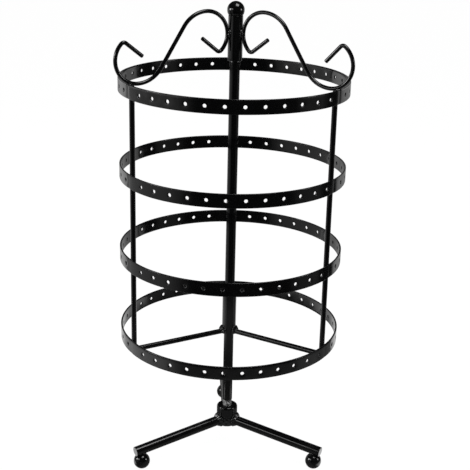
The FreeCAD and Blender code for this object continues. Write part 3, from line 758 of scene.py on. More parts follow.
def scroll_half(sizes, half, heading):
    """Centre line of half a scroll from the straight's end to the hook's tip: shoulder, loop, bend and hook.

    The shoulder's radius is (run sin s - fall cos s) / (1 - cos s) for the half run, half fall and slope s.
    """
    inner, outer = loop_centers(sizes)
    center = outer if half else inner

    def ray(angle, length):
        angle = np.asarray(angle)
        return length * np.stack([np.cos(angle), np.sin(angle)], axis=-1)

    run, fall = (outer[0] - inner[0]) / 2, (inner[1] - outer[1]) / 2 + sizes.loop
    shoulder = (run * math.sin(sizes.slope) - fall * math.cos(sizes.slope)) / (1 - math.cos(sizes.slope))
    crown = half + math.pi / 2
    wrap = half + heading - sizes.turn + 1.5 * math.pi
    bend_center = center + ray(wrap, sizes.loop - sizes.bend)
    shoulder_center = center + ray(crown, sizes.loop - shoulder)
    corner = bend_center + ray(wrap + sizes.turn, sizes.bend)
    hook = np.linspace(0, sizes.hook, HOOK_STEPS)[1:, None] * ray(half + heading, 1.0)
    return np.vstack([
        shoulder_center + ray(np.linspace(crown - sizes.slope, crown, SHOULDER_STEPS), shoulder),
        center + ray(np.linspace(crown, wrap, LOOP_STEPS)[1:], sizes.loop),
        bend_center + ray(np.linspace(wrap, wrap + sizes.turn, BEND_STEPS)[1:], sizes.bend),
        corner + hook,
    ])


def scroll(bay):
    """S-shaped wire: circles carried along the centre line of two mirrored halves, with rounded cut ends."""
    sizes = bpy.context.scene.scroll_sizes
    cut = bpy.context.scene.stand_sizes.cut_edge
    inner = scroll_half(sizes, 0.0, sizes.heading)
    outer = scroll_half(sizes, math.pi, sizes.right_heading if bay == 3 else sizes.heading)
    path = np.vstack([inner[::-1], outer])
    tangent = np.gradient(path, axis=0)
    tangent /= np.linalg.norm(tangent, axis=1, keepdims=True)
    wire = sizes.wire / 2 + bpy.context.scene.stand_sizes.paint
    distance, radii, rims = end_rounds(np.inf, wire, cut)
    count = len(distance) // 2
    tip = distance[:count, None]
    first, last = path[0] + tip * tangent[0], path[-1] - tip[::-1] * tangent[-1]
    middle = path[1:-1]
    line = np.vstack([first, middle, last])
    heading = np.vstack([np.tile(tangent[0], (count, 1)), tangent[1:-1], np.tile(tangent[-1], (count, 1))])
    width = np.concatenate([radii[:count], np.full(len(middle), wire), radii[:count][::-1]])
    rim = np.concatenate([rims[:count], np.zeros(len(middle)), rims[:count][::-1]])
    zero = 0 * line[:, :1]
    centers = np.hstack([line[:, :1], zero, line[:, 1:]])
    side = np.hstack([-heading[:, 1:], zero, heading[:, :1]])
    return turned(swept(centers, width, side, np.array([0.0, 1.0, 0.0]), 28, rim), azimuth(bay))


def ripple(turn, random, coins, depth):
    """Ripple of a bead laid like a row of coins.

    It is 1 + d (cos(3 t + p) + cos(5 t + q) + 2 |cos(c t / 2 + l)| - 1), where the lean l = 0.35 sin(2 t + r)
    spaces the coins unevenly.
    """
    slow = np.cos(3 * turn + any_phase(random)) + np.cos(5 * turn + any_phase(random))
    lean = 0.35 * np.sin(2 * turn + any_phase(random))
    return 1 + depth * (slow + 2 * np.abs(np.cos(coins * turn / 2 + lean)) - 1)


def ring_bead(center, radial, axis, radius, coins, random, most=math.inf, depth=0.08, sides=24):
    """Bead round a closed curve, with a rounded diamond of rippled size as its section.

    In the radial and axis directions the section is size (cos |cos|^0.6, sin |sin|^0.6), cut short inwards.
    """
    turn = np.linspace(0, 2 * math.pi, len(center), endpoint=False)
    cosine, sine = (part * np.abs(part) ** 0.6 for part in circle(sides))
    size = (radius * ripple(turn, random, coins, depth))[:, None]
    out = np.where(cosine > 0, size, np.minimum(size, most)) * cosine
    points = center[:, None, :] + out[..., None] * radial[:, None, :] + (size * sine)[..., None] * axis
    return surface(points, close_rows=True, close_columns=True)


def bar_bead(center, half, radius, random, bumps, depth=0.14, sides=16, steps=40):
    """Straight bead from c - h to c + h: circles along a line, of radius r (1 - x^4)^0.5 times a ripple."""
    place = np.linspace(-1, 1, steps)
    half = np.asarray(half, float)
    side, up = square_axes(half / np.linalg.norm(half))
    wave = 1 + depth * np.cos(math.pi * bumps * (place + random.uniform(0, 1)))
    radii = radius * np.sqrt(np.clip(1 - place ** 4, 0, 1)) * wave
    return swept(np.asarray(center) + place[:, None] * half, radii, side, up, sides)


def rod_axes(slope):
    """Unit vectors of a rod that falls along +X by a slope: along it, square to it upwards, and level."""
    axis = np.array([math.cos(slope), 0.0, -math.sin(slope)])
    up = np.array([math.sin(slope), 0.0, math.cos(slope)])
    return axis, up, np.array([0.0, 1.0, 0.0])


def saddle_bead(level, slope, pipe, collar, radius, coins, random, lean, steps=216):
    """Bead where a rod along +X meets an upright collar: the curve is sqrt(R^2 - y^2) out at offset y."""
    turn = np.linspace(0, 2 * math.pi, steps, endpoint=False)
    axis, up, sideways = rod_axes(slope)
    radial = np.cos(turn)[:, None] * sideways + np.sin(turn)[:, None] * up
    offset = pipe * np.cos(turn)
    reach = (np.sqrt(collar ** 2 - offset ** 2) - pipe * np.sin(turn) * math.sin(slope)) / math.cos(slope)
    center = np.array([0.0, 0.0, level]) + reach[:, None] * axis + pipe * radial
    size = radius * (1 + lean * np.sin(turn))
    return ring_bead(center, radial, axis, size, coins, random, 0.95 * pipe)


class STAND_OT_hoops(bpy.types.Operator):
    """Make the four punched hoops"""

    bl_idname = "stand.hoops"
    bl_label = "Hoops"

    def execute(self, context):
        for tier in TIERS:
            node = "hoop_%d" % tier
            make_piece(node + "_strip", hoop(tier), enamel("enamel_strip"), "cage", [node])
        return {"FINISHED"}


# Post welds: radius of a bead, before its own variation, and its bumps
POST_BEAD = 1.05 * MM
POST_BUMPS = 3.5
POST_SEED = 7


class STAND_OT_posts(bpy.types.Operator):
    """Make the three posts and their welds to the hoops"""

    bl_idname = "stand.posts"
    bl_label = "Posts"

    def execute(self, context):
        sizes = context.scene.stand_sizes
        low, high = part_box("post_1")
        radius, reach = half_width("post_1") + sizes.paint, (low.y + high.y) / 2
        beads = []
        random = np.random.default_rng(POST_SEED)
        for bay in BAYS:
            node = "post_%d" % bay
            part = rod((reach, 0, low.z), (reach, 0, high.z), radius, sizes.cut_edge)
            make_piece(node + "_rod", [turned(part, azimuth(bay))], enamel("enamel_rod"), "cage", [node])
            for tier in TIERS:
                bottom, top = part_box("hoop_%d" % tier)
                for side in (1, -1):
                    size = POST_BEAD * random.uniform(0.85, 1.15)
                    rise = (0, 0, random.uniform(2.2, 3.0) * MM)
                    corner = (reach + 0.55 * radius, side * 1.05 * radius, (bottom.z + top.z) / 2)
                    beads.append(turned(bar_bead(corner, rise, size, random, POST_BUMPS), azimuth(bay)))
        make_piece("post_weld_beads", beads, enamel("enamel_weld"), "cage")
        return {"FINISHED"}


# Spoke welds: the bead at the sleeve, with its coins and its lean to the top, and the beads at the post
SLEEVE_BEAD = 1.8 * MM
SLEEVE_COINS = 13
SLEEVE_LEAN = 0.45
END_BEAD = 0.8 * MM
END_HALF = 1.7 * MM
SPOKE_SEED = 11


class STAND_OT_spokes(bpy.types.Operator):
    """Make the three spokes and the welds at both of their ends"""

    bl_idname = "stand.spokes"
    bl_label = "Spokes"

    def execute(self, context):
        sizes = context.scene.stand_sizes
        low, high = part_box("spoke_1")
        radius, level = half_width("spoke_1") + sizes.paint, (low.z + high.z) / 2
        collar = half_width("lower_sleeve") + sizes.paint
        post = half_width("post_1")
        beads = []
        random = np.random.default_rng(SPOKE_SEED)
        for bay in BAYS:
            node = "spoke_%d" % bay
            part = rod((low.y - MM, 0, level), (high.y + 0.5 * MM, 0, level), radius, sizes.cut_edge)
            make_piece(node + "_rod", [turned(part, azimuth(bay))], enamel("enamel_rod"), "cage", [node])
            bead = saddle_bead(level, 0.0, radius, collar, SLEEVE_BEAD, SLEEVE_COINS, random, SLEEVE_LEAN)
            beads.append(turned(flattened(bead, low.z), azimuth(bay)))
            for side in (1, -1):
                corner = (high.y + 0.25 * post, side * radius, level)
                beads.append(turned(bar_bead(corner, (0, 0, END_HALF), END_BEAD, random, 2.0), azimuth(bay)))
        make_piece("spoke_weld_beads", beads, enamel("enamel_weld"), "cage", ["spoke_welds"])
        return {"FINISHED"}


# Scroll welds: beads beside the wire on the sleeve, and beads beside it on the top hoop's edge
WIRE_BEAD = 1.15 * MM
SEAT_BEAD = 0.8 * MM
SEAT_HALF = 1.6 * MM
SCROLL_SEED = 23


class STAND_OT_scrolls(bpy.types.Operator):
    """Make the three scroll wires and their welds to the sleeve and the top hoop"""

    bl_idname = "stand.scrolls"
    bl_label = "Scrolls"

    def execute(self, context):
        shape = context.scene.scroll_sizes
        collar = half_width("upper_sleeve")
        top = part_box("hoop_4")[1]
        wire = shape.wire / 2
        level = loop_centers(shape)[0][1]
        beads = []
        random = np.random.default_rng(SCROLL_SEED)
        for bay in BAYS:
            node = "scroll_%d" % bay
            make_piece(node + "_wire", [scroll(bay)], enamel("enamel_rod"), "cage", [node])
            for side in (1, -1):
                corner = (collar + 0.2 * MM, side * wire, level + 0.3 * MM)
                rise = (0, 0, random.uniform(2.6, 3.2) * MM)
                beads.append(turned(bar_bead(corner, rise, WIRE_BEAD, random, 3.0), azimuth(bay)))
                seat = (top.x - 0.5 * MM, side * 1.1 * wire, top.z + 0.1 * MM)
                beads.append(turned(bar_bead(seat, (SEAT_HALF, 0, 0), SEAT_BEAD, random, 2.0), azimuth(bay)))
        make_piece("scroll_weld_beads", beads, enamel("enamel_weld"), "cage")
        return {"FINISHED"}


# Roundings of the tubes' edges, from the lower inner one on; the hub's upper outer one is a setting
SLEEVE_ROUNDS = (0.25 * MM, 0.5 * MM, 0.2 * MM, 0.1 * MM)
HUB_ROUNDS = (0.3 * MM, 0.5 * MM, 0.6 * MM)


class STAND_OT_sleeves(bpy.types.Operator):
    """Make the two sleeves that turn on the shaft"""

    bl_idname = "stand.sleeves"
    bl_label = "Sleeves"

    def execute(self, context):
        sizes = context.scene.stand_sizes
        for node in ("lower_sleeve", "upper_sleeve"):
            low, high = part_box(node)
            outside = half_width(node) + sizes.paint
            profile = tube_profile(sizes.sleeve_bore / 2, outside, low.z, high.z, SLEEVE_ROUNDS)
            rim = np.tile(np.sin(np.linspace(0, math.pi, len(profile) // 4)) ** 2, 4)
            tube = lathe(profile, closed=True, rim=rim)
            make_piece(node + "_tube", [tube], enamel("enamel_rod"), "cage", [node])
        return {"FINISHED"}


class STAND_OT_finial(bpy.types.Operator):
    """Make the ball finial with its spigot"""

    bl_idname = "stand.finial"
    bl_label = "Finial"

    def execute(self, context):
        sizes = context.scene.stand_sizes
        low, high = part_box("finial_ball")
        ball = half_width("finial_ball")
        shelf = low.z + sizes.finial_spigot
        center = high.z - ball
        seat = math.sqrt(ball ** 2 - (center - shelf) ** 2)
        spigot = half_width("center_shaft")
        arc = ball_arc(ball, center, math.atan2(shelf - center, seat))
        neck = rounded_corner((spigot, shelf), (seat, shelf), arc[4], 0.4 * MM)
        profile = np.vstack([[(0, low.z), (spigot, low.z), (spigot, shelf)], neck, arc[5:-1], [(0, high.z)]])
        make_piece("finial_turned_ball", [lathe(profile)], enamel("enamel_ball"), "cage", ["finial_ball"])
        return {"FINISHED"}


# Distances from a sleeve's end over which the shaft's paint ends, and the rounding of its lower edge
PAINT_END = np.array([0.7, 0.5, 0.3, 0.1]) * MM
PAINT_FOOT = 0.3 * MM
# Thread: sides of its grid, steps in a turn, depth in pitches and plain length at its upper end
THREAD_SIDES = 60
THREAD_STEPS = 14
THREAD_DEPTH = 0.55
THREAD_END = 0.3 * MM


class STAND_OT_shaft(bpy.types.Operator):
    """Make the shaft's painted rod and its bare thread"""

    bl_idname = "stand.shaft"
    bl_label = "Shaft"

    def execute(self, context):
        sizes = context.scene.stand_sizes
        low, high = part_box("center_shaft")
        radius = half_width("center_shaft")
        bare = low.z + sizes.thread_length
        turn = np.linspace(0, math.pi / 2, 12)
        tip = np.stack([radius - sizes.tip_round * (1 - np.cos(turn)),
                        high.z - sizes.tip_round * (1 - np.sin(turn))], axis=-1)
        painted = radius + sizes.paint
        foot = rounded_corner((0, bare), (painted, bare), (painted, high.z), PAINT_FOOT)
        steps = []
        for node in ("lower_sleeve", "upper_sleeve"):
            bottom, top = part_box(node)
            wide = [painted, painted, radius, radius]
            steps += list(zip(wide, bottom.z - PAINT_END))
            if top.z < high.z:
                steps += list(zip(wide[::-1], top.z + PAINT_END[::-1]))
        profile = np.vstack([[(0, bare)], foot, steps, tip, [(0, high.z)]])
        make_piece("shaft_rod", [lathe(profile)], enamel("enamel_rod"), "base", ["center_shaft"])
        self.make_thread(sizes, low.z, bare)
        return {"FINISHED"}

    def make_thread(self, sizes, low, high):
        """Thread: at angle t and height z the radius falls by a clipped saw of z / pitch - t / 2 pi."""
        crest, pitch = sizes.thread_diameter / 2, sizes.thread_pitch
        height = np.linspace(low, high, int((high - low) / pitch * THREAD_STEPS))
        turn = np.linspace(0, 2 * math.pi, THREAD_SIDES, endpoint=False)
        phase = height[:, None] / pitch - turn / (2 * math.pi)
        saw = np.abs(2 * (phase - np.floor(phase + 0.5)))
        groove = np.clip(1.3 * saw - 0.15, 0, 1)
        run_out = np.clip((high - THREAD_END - height) / pitch, 0, 1)[:, None]
        radius = crest - THREAD_DEPTH * pitch * groove * run_out
        points = np.stack([radius * np.cos(turn), radius * np.sin(turn), height[:, None] + 0 * turn], axis=-1)
        bottom, top = (np.zeros((1, THREAD_SIDES, 3)) + np.array([0, 0, level]) for level in (low, high))
        # On the thread the rim is its grooves, which the thread's material makes darker
        rim = np.pad(groove, ((1, 1), (0, 0)))
        part = surface(np.concatenate([bottom, points, top]), close_columns=True, rim=rim)
        make_piece("shaft_thread", [part], bare_thread(), "base")


class STAND_OT_hub(bpy.types.Operator):
    """Make the base hub"""

    bl_idname = "stand.hub"
    bl_label = "Hub"

    def execute(self, context):
        sizes = context.scene.stand_sizes
        low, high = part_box("base_hub")
        bore, outside = sizes.thread_diameter / 2 + 0.05 * MM, half_width("base_hub") + sizes.paint
        low_inner, low_outer, high_inner = HUB_ROUNDS
        rounds = (low_inner, low_outer, 1.25 * sizes.hub_round, high_inner)
        profile = tube_profile(bore, outside, low.z, high.z, rounds, 9)
        collar = lathe(profile, closed=True)
        make_piece("hub_collar", [collar], enamel("enamel_hub"), "base", ["base_hub"])
        return {"FINISHED"}


# Leg welds: the bead round the leg at the hub, with its coins and lean to the top, and the run between legs
LEG_ROOT = 1.3 * MM
LEG_BEAD = 2.0 * MM
LEG_COINS = 18
LEG_LEAN = 0.2
SKIRT_WIDTH = 0.65 * MM
SKIRT_SINK = 0.3 * MM
SKIRT_LIFT = 0.2 * MM
SKIRT_MARGIN = 0.1 * MM
# Waves of the run: count round the hub, count over its section, and size
SKIRT_WAVES = ((13, 5, 0.16 * MM), (8, 7, 0.12 * MM), (19, 3, 0.1 * MM))
LEG_SEED = 31


class STAND_OT_legs(bpy.types.Operator):
    """Make the three legs and their welds to the hub"""

    bl_idname = "stand.legs"
    bl_label = "Legs"

    def execute(self, context):
        sizes = context.scene.stand_sizes
        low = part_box("base_hub")[0]
        collar, radius = half_width("base_hub") + sizes.paint, sizes.leg_diameter / 2 + sizes.paint
        fall = math.tan(sizes.leg_slope)
        rear = math.degrees(sizes.leg_azimuth)
        reaches = (collar - LEG_ROOT, sizes.leg_reach)
        start, end = ((reach, 0, sizes.leg_level - reach * fall) for reach in reaches)
        beads = []
        random = np.random.default_rng(LEG_SEED)
        for bay in BAYS:
            part = turned(rod(start, end, radius, sizes.cut_edge, 56), azimuth(bay, rear))
            make_piece("leg_%d_rod" % bay, [part], enamel("enamel_rod"), "base", ["base_leg_%d" % bay])
            bead = saddle_bead(sizes.leg_level, sizes.leg_slope, radius, collar, LEG_BEAD, LEG_COINS, random,
                               LEG_LEAN)
            beads.append(turned(flattened(bead, low.z - 0.1 * MM), azimuth(bay, rear)))
        beads.append(self.weld_skirt(sizes, collar, low.z, random))
        make_piece("leg_weld_beads", beads, enamel("enamel_weld"), "base", ["leg_welds"])
        return {"FINISHED"}

    def weld_skirt(self, sizes, collar, bottom, random):
        """Lumpy run of weld round the hub between the legs: an ellipse turned about the axis, with waves.

        The reach is R + (w + sum a cos(n t + p) cos(m s + q)) cos s, with t round the hub and s round the
        ellipse.
        """
        height = sizes.leg_diameter / 2
        turn = np.linspace(0, 2 * math.pi, 300, endpoint=False)[:, None]
        swell = np.linspace(0, 2 * math.pi, 56, endpoint=False)
        width = SKIRT_WIDTH
        for around, across, size in SKIRT_WAVES:
            wave = np.cos(around * turn + any_phase(random))
            width = width + size * wave * np.cos(across * swell + any_phase(random))
        reach = collar - SKIRT_SINK + width * np.cos(swell)
        level = bottom + height + SKIRT_LIFT + (height + SKIRT_MARGIN) * np.sin(swell) + 0 * turn
        points = np.stack([reach * np.cos(turn), reach * np.sin(turn), level], axis=-1)
        return surface(points, close_rows=True, close_columns=True)


# Foot welds: half lengths of the seat's ellipse along and across the leg, and the bead round it
SEAT_ALONG = 2.4 * MM
SEAT_ACROSS = 1.9 * MM
SEAT_DROP = 0.25 * MM
FOOT_BEAD = 0.75 * MM
FOOT_COINS = 14
FOOT_ROUND = 0.25 * MM
FOOT_SEED = 43


class STAND_OT_feet(bpy.types.Operator):
    """Make the three ball feet and their welds to the legs"""

    bl_idname = "stand.feet"
    bl_label = "Feet"

    def execute(self, context):
        sizes = context.scene.stand_sizes
        beads = []
        random = np.random.default_rng(FOOT_SEED)
        for bay in BAYS:
            node = "foot_ball_%d" % bay
            low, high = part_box(node)
            ball, flat = half_width(node), sizes.foot_flat / 2
            middle = math.sqrt(ball ** 2 - flat ** 2)
            arc = ball_arc(ball, middle, math.atan2(-middle, flat))
            sole = rounded_corner((0, 0), (flat, 0), arc[3], FOOT_ROUND)
            profile = np.vstack([[(0, 0)], sole, arc[4:-1], [(0, middle + ball)]])
            spot = ((low.x + high.x) / 2, (low.y + high.y) / 2, 0)
            part = moved(lathe(profile), spot)
            make_piece("foot_%d_ball" % bay, [part], enamel("enamel_ball"), "base", [node])
            bead = self.seat_bead(sizes, math.hypot(*spot), random)
            beads.append(turned(bead, azimuth(bay, math.degrees(sizes.leg_azimuth))))
        make_piece("foot_weld_beads", beads, enamel("enamel_weld"), "base")
        return {"FINISHED"}

    def seat_bead(self, sizes, reach, random):
        """Bead under a leg round its seat on the ball: an ellipse on the leg's underside, rippled."""
        turn = np.linspace(0, 2 * math.pi, 90, endpoint=False)
        axis, up, level = rod_axes(sizes.leg_slope)
        along, across = SEAT_ALONG * np.cos(turn), SEAT_ACROSS * np.sin(turn)
        drop = np.sqrt((sizes.leg_diameter / 2) ** 2 - across ** 2) + SEAT_DROP
        foot = np.array([reach, 0, sizes.leg_level - reach * math.tan(sizes.leg_slope)])
        center = foot + along[:, None] * axis + across[:, None] * level - drop[:, None] * up
        radial = np.cos(turn)[:, None] * axis + np.sin(turn)[:, None] * level
        return ring_bead(center, radial, up, FOOT_BEAD, FOOT_COINS, random, sides=12)


# Lamps: name, setting of the power, place and size in metres
LAMPS = (
    ("lamp_top", "top_lamp", (0.27, -0.25, 1.25), (0.55, 0.6)),
    ("lamp_front", "front_lamp", (-0.69, -0.54, 0.53), (0.45, 0.22)),
    ("lamp_left", "left_lamp", (-1.0, -0.19, 0.43), (0.3, 0.28)),
    ("lamp_right", "right_lamp", (0.95, -0.24, 0.42), (0.22, 0.26)),
)
# Floor: half its side, lines of its grid, depth under the feet, white to the view and share of its shadow
FLOOR_REACH = 6.0
FLOOR_LINES = 13
FLOOR_DROP = 0.02 * MM
FLOOR_WHITE = 0.975
SHADOW_SHEEN = (0.06, 0.06, 0.06, 1)
# Surroundings: strength as plain light and least brightness in reflections
WORLD_PLAIN = 0.28
WORLD_LEAST = 0.01
CLIP_START, CLIP_END = 0.01, 50.0

# Painted brightness of the surroundings, seen only in reflections, as steps over the azimuth from the rear,
# in
# radians: from, to, brightness before and after. Left is negative.
GLOW_LEFT = (-2.6, -2.0, 0.01, 0.4)
GLOW_RIGHT = (0.93, 1.08, 0.4, 0.015)
# The window is a painted bright band seen in reflections
WINDOW_START = (1.4, 1.55, 0.0, 0.13)
WINDOW_END = (2.15, 1.9, 0.0, 1.0)
REAR_MIDDLE = (0.1, 0.9, 0.1, 1.0)
REAR_END = (1.03, 0.95, 0.0, 1.0)
REAR_FADE = (0.3, -0.3, 0.6, 1.0)
SIDE_CHANGE = 0.2
# The same over the height of the direction, from level 0 to 1 straight up
GLOW_HEIGHT = (0.35, 0.15, 0.0, 0.8)
# The same for the floor's painted reflections, over the distance from the shaft in metres
# Painted shade near the stand, a painted pool of light round it and brighter far off
FLOOR_SHADE = (0.16, 0.24, 0.05, 1.0)
FLOOR_NEAR = (0.26, 0.34, 2.2, 1.0)
FLOOR_FAR = (1.6, 2.2, 1.0, 2.2)
# A painted bright ring round the stand, and dim painted light under it
FLOOR_RING = (0.34, 0.26, 0.0, 0.2)
RING_INSIDE = (0.14, 0.2, 0.4, 1.0)
FLOOR_UNDER = (0.09, 0.075, 0.0, 0.17)
# The same for the floor's painted reflection patches beside the legs' cut ends, over the distance to the side
# and over Y
PATCH_INSIDE = (0.068, 0.076, 0.0, 1.8)
PATCH_OUTSIDE = (0.096, 0.09, 0.0, 1.0)
PATCH_REAR = (-0.004, -0.016, 0.0, 1.0)
PATCH_FRONT = (-0.05, -0.042, 0.0, 1.0)


class STAND_OT_stage(bpy.types.Operator):
    """Make the floor, the lamps, the surroundings and the camera"""

    bl_idname = "stand.stage"
    bl_label = "Stage"

    def execute(self, context):
        stage = context.scene.stand_stage
        self.make_floor(stage)
        self.make_world(context.scene)
        for name, power, place, size in LAMPS:
            self.make_lamp(name, place, size, getattr(stage, power))
        self.make_camera(context.scene, stage)
        context.scene.view_settings.view_transform = "Standard"
        return {"FINISHED"}

    def make_floor(self, stage):
        """Level square sheet just under the feet: a plain grid of points (x, y, z)."""
        lines = np.linspace(-FLOOR_REACH, FLOOR_REACH, FLOOR_LINES)
        east, north = np.meshgrid(lines, lines, indexing="ij")
        points = np.stack([east, north, 0 * east - FLOOR_DROP], axis=-1)
        mesh = bpy.data.meshes.new("floor")
        faces = grid_faces(FLOOR_LINES, FLOOR_LINES)[:, ::-1]
        mesh.from_pydata(points.reshape(-1, 3).tolist(), [], faces.tolist())
        floor = bpy.data.objects.new("floor", mesh)
        bpy.context.scene.collection.objects.link(floor)
        mesh.materials.append(self.floor_material(stage))

    def floor_material(self, stage):
        """Diffuse floor that is white to the view, with a faint shadow.

        In reflections only it shows painted light: as bright as the surroundings on that side, painted shade
        under the stand, a painted bright ring round it and a painted reflection patch beside each front leg's
        end.
        """
        material = bpy.data.materials.new("floor_paper")
        material.use_nodes = True
        tree = material.node_tree
        tree.nodes.clear()
        place = tree.nodes.new("ShaderNodeTexCoord").outputs["Object"]
        reflected_glow, split = self.studio_glow(tree, place)
        east, north = split.outputs["X"], split.outputs["Y"]
        squares = maths(tree, "ADD", maths(tree, "POWER", east, 2.0), maths(tree, "POWER", north, 2.0))
        away = maths(tree, "POWER", squares, 0.5)
        # Painted reflections: shade near the stand, a painted pool of light round it, brighter far off, a
        # bright ring and patches beside the legs' ends
        steps = [ramp(tree, away, *step) for step in (FLOOR_SHADE, FLOOR_NEAR, FLOOR_FAR)]
        reflected_glow = maths(tree, "MINIMUM", maths(tree, "MULTIPLY", reflected_glow, *steps), 1.0)
        beside = absolute(tree, east)
        steps = [ramp(tree, beside, *step) for step in (PATCH_INSIDE, PATCH_OUTSIDE)]
        steps += [ramp(tree, north, *step) for step in (PATCH_REAR, PATCH_FRONT)]
        patches = maths(tree, "MULTIPLY", *steps)
        ring = maths(tree, "MULTIPLY", ramp(tree, away, *FLOOR_RING), ramp(tree, away, *RING_INSIDE))
        reflected_glow = maths(tree, "MAXIMUM", reflected_glow, patches, ring, ramp(tree, away, *FLOOR_UNDER))
        seen, glossy, _ = self.ray_kinds(tree)
        # The floor glows with these painted reflections to reflected rays only
        glow = maths(tree, "MULTIPLY", glossy, reflected_glow)
        strength = maths(tree, "ADD", maths(tree, "MULTIPLY", seen, FLOOR_WHITE), glow)
        emission = add_node(tree, "ShaderNodeEmission", inputs={"Strength": strength})
        diffuse = add_node(tree, "ShaderNodeBsdfDiffuse", inputs={"Color": tuple(stage.floor)})
        sheen = add_node(tree, "ShaderNodeBsdfDiffuse", inputs={"Color": SHADOW_SHEEN})
        unlit = add_node(tree, "ShaderNodeBsdfTransparent", inputs={"Color": (0, 0, 0, 1)})
        lit = self.mix(tree, seen, diffuse, sheen)
        lit = self.mix(tree, glossy, lit, unlit)
        total = add_node(tree, "ShaderNodeAddShader", inputs={0: emission.outputs[0], 1: lit.outputs[0]})
        add_node(tree, "ShaderNodeOutputMaterial", inputs={"Surface": total.outputs[0]})
        return material

    def mix(self, tree, mask, first, second):
        """One shader or another by a mask."""
        inputs = {0: mask, 1: first.outputs[0], 2: second.outputs[0]}
        return add_node(tree, "ShaderNodeMixShader", inputs=inputs)

    def ray_kinds(self, tree):
        """Masks of the rays of the view, of reflections and of diffuse light."""
        rays = tree.nodes.new("ShaderNodeLightPath").outputs
        seen = maths(tree, "MAXIMUM", rays["Is Camera Ray"], rays["Is Transmission Ray"])
        return seen, rays["Is Glossy Ray"], rays["Is Diffuse Ray"]

    def studio_glow(self, tree, vector):
        """Brightness of the surroundings in reflections by azimuth, and the vector's parts.

        Painted reflections: bright behind, dim in its middle, grey to the left and right, a bright band like
        a window at the right and dark in front.
        """
        split = add_node(tree, "ShaderNodeSeparateXYZ", inputs={"Vector": vector})
        angle = maths(tree, "ARCTAN2", split.outputs["X"], split.outputs["Y"])
        leftward = ramp(tree, angle, SIDE_CHANGE, -SIDE_CHANGE)
        rightward = ramp(tree, angle, -SIDE_CHANGE, SIDE_CHANGE)
        left = maths(tree, "MULTIPLY", ramp(tree, angle, *GLOW_LEFT), leftward)
        window = maths(tree, "MULTIPLY", ramp(tree, angle, *WINDOW_START), ramp(tree, angle, *WINDOW_END))
        right = maths(tree, "MULTIPLY", maths(tree, "ADD", ramp(tree, angle, *GLOW_RIGHT), window), rightward)
        off_rear = absolute(tree, angle)
        rear = maths(tree, "MULTIPLY", ramp(tree, off_rear, *REAR_MIDDLE), ramp(tree, off_rear, *REAR_END),
                     ramp(tree, angle, *REAR_FADE))
        return maths(tree, "MAXIMUM", rear, maths(tree, "ADD", left, right)), split

    def make_world(self, scene):
        """Surroundings: white to the view, painted bright and dark sides seen only in reflections, and dim
        light.
        """
        world = bpy.data.worlds.new("studio")
        scene.world = world
        world.use_nodes = True
        tree = world.node_tree
        tree.nodes.clear()
        direction = tree.nodes.new("ShaderNodeTexCoord").outputs["Generated"]
        reflected_glow, split = self.studio_glow(tree, direction)
        glow = maths(tree, "MULTIPLY", reflected_glow, ramp(tree, split.outputs["Z"], *GLOW_HEIGHT))
        glow = maths(tree, "MAXIMUM", glow, WORLD_LEAST)
        seen, glossy, diffuse = self.ray_kinds(tree)
        strength = maths(tree, "ADD", seen, maths(tree, "MULTIPLY", glossy, glow),
                         maths(tree, "MULTIPLY", diffuse, WORLD_PLAIN))
        white = add_node(tree, "ShaderNodeBackground", inputs={"Color": (1, 1, 1, 1), "Strength": strength})
        add_node(tree, "ShaderNodeOutputWorld", inputs={"Surface": white.outputs[0]})

    def make_lamp(self, name, place, size, power):
        """Soft rectangular lamp at a place, facing the middle of the stand."""
        lamp = bpy.data.lights.new(name, "AREA")
        lamp.shape = "RECTANGLE"
        lamp.size, lamp.size_y = size
        lamp.energy = power
        holder = bpy.data.objects.new(name, lamp)
        bpy.context.scene.collection.objects.link(holder)
        low, high = CAD_BOX
        back = np.array(place) - np.array((low + high) / 2)
        back /= np.linalg.norm(back)
        overhead = abs(back[2]) >= 0.9
        up = np.cross(back, [1.0, 0, 0]) if overhead else square_axes(back)[1]
        self.set_axes(holder, np.cross(up, back), up, back, place)
        holder.visible_camera = False

    def set_axes(self, holder, across, up, back, place):
        """Turn an object's X, Y and Z axes to three directions and put it at a place."""
        rows = [[across[row], up[row], back[row], place[row]] for row in range(3)]
        holder.matrix_world = Matrix(rows + [[0, 0, 0, 1]])

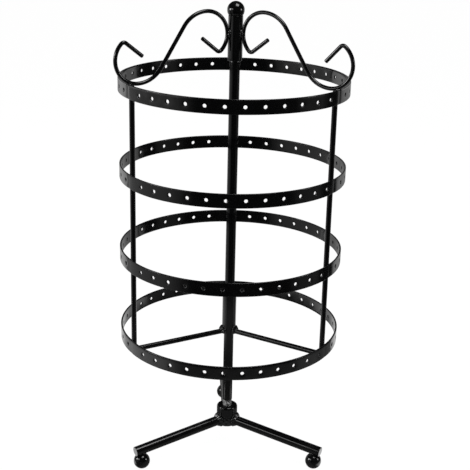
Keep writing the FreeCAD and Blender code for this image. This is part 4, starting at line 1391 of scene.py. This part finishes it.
    def make_camera(self, scene, stage):
        """Camera at the photograph's place: its axes come from yaw, pitch and roll."""
        pitch, yaw, roll = stage.camera_pitch, stage.camera_yaw, stage.camera_roll
        level = np.array([math.sin(yaw), math.cos(yaw), 0])
        forward = math.cos(pitch) * level - math.sin(pitch) * np.array([0, 0, 1])
        right = np.array([math.cos(yaw), -math.sin(yaw), 0])
        down = np.cross(forward, right)
        across = math.cos(roll) * right + math.sin(roll) * down
        below = -math.sin(roll) * right + math.cos(roll) * down
        data = bpy.data.cameras.new("camera")
        data.sensor_width = SENSOR_WIDTH
        data.lens = stage.focal_pixels * SENSOR_WIDTH / PHOTO_WIDTH
        data.clip_start, data.clip_end = CLIP_START, CLIP_END
        camera = bpy.data.objects.new("camera", data)
        scene.collection.objects.link(camera)
        self.set_axes(camera, across, -below, -forward, stage.camera_place)
        scene.camera = camera


OPERATORS = (STAND_OT_hoops, STAND_OT_posts, STAND_OT_spokes, STAND_OT_scrolls, STAND_OT_sleeves,
             STAND_OT_finial, STAND_OT_shaft, STAND_OT_hub, STAND_OT_legs, STAND_OT_feet, STAND_OT_stage)
GROUPS = {"stand_sizes": StandSizes, "scroll_sizes": ScrollSizes, "stand_finish": StandFinish,
          "stand_stage": StandStage}


class STAND_PT_panel(bpy.types.Panel):
    """Sidebar panel with the stand's pieces and sizes"""

    bl_idname = "STAND_PT_panel"
    bl_label = "Earring stand"
    bl_space_type = "VIEW_3D"
    bl_region_type = "UI"
    bl_category = "Stand"

    def draw(self, context):
        for group in GROUPS:
            settings = getattr(context.scene, group)
            for name in settings.__annotations__:
                self.layout.prop(settings, name)
        for operator in OPERATORS:
            self.layout.operator(operator.bl_idname)


CLASSES = tuple(GROUPS.values()) + OPERATORS + (STAND_PT_panel,)


def register():
    for item in CLASSES:
        bpy.utils.register_class(item)
    for name, group in GROUPS.items():
        setattr(bpy.types.Scene, name, PointerProperty(type=group))


def unregister():
    for name in GROUPS:
        delattr(bpy.types.Scene, name)
    for item in reversed(CLASSES):
        bpy.utils.unregister_class(item)


def main():
    register()
    for operator in OPERATORS:
        area, name = operator.bl_idname.split(".")
        getattr(getattr(bpy.ops, area), name)()


if __name__ == "__main__":
    main()
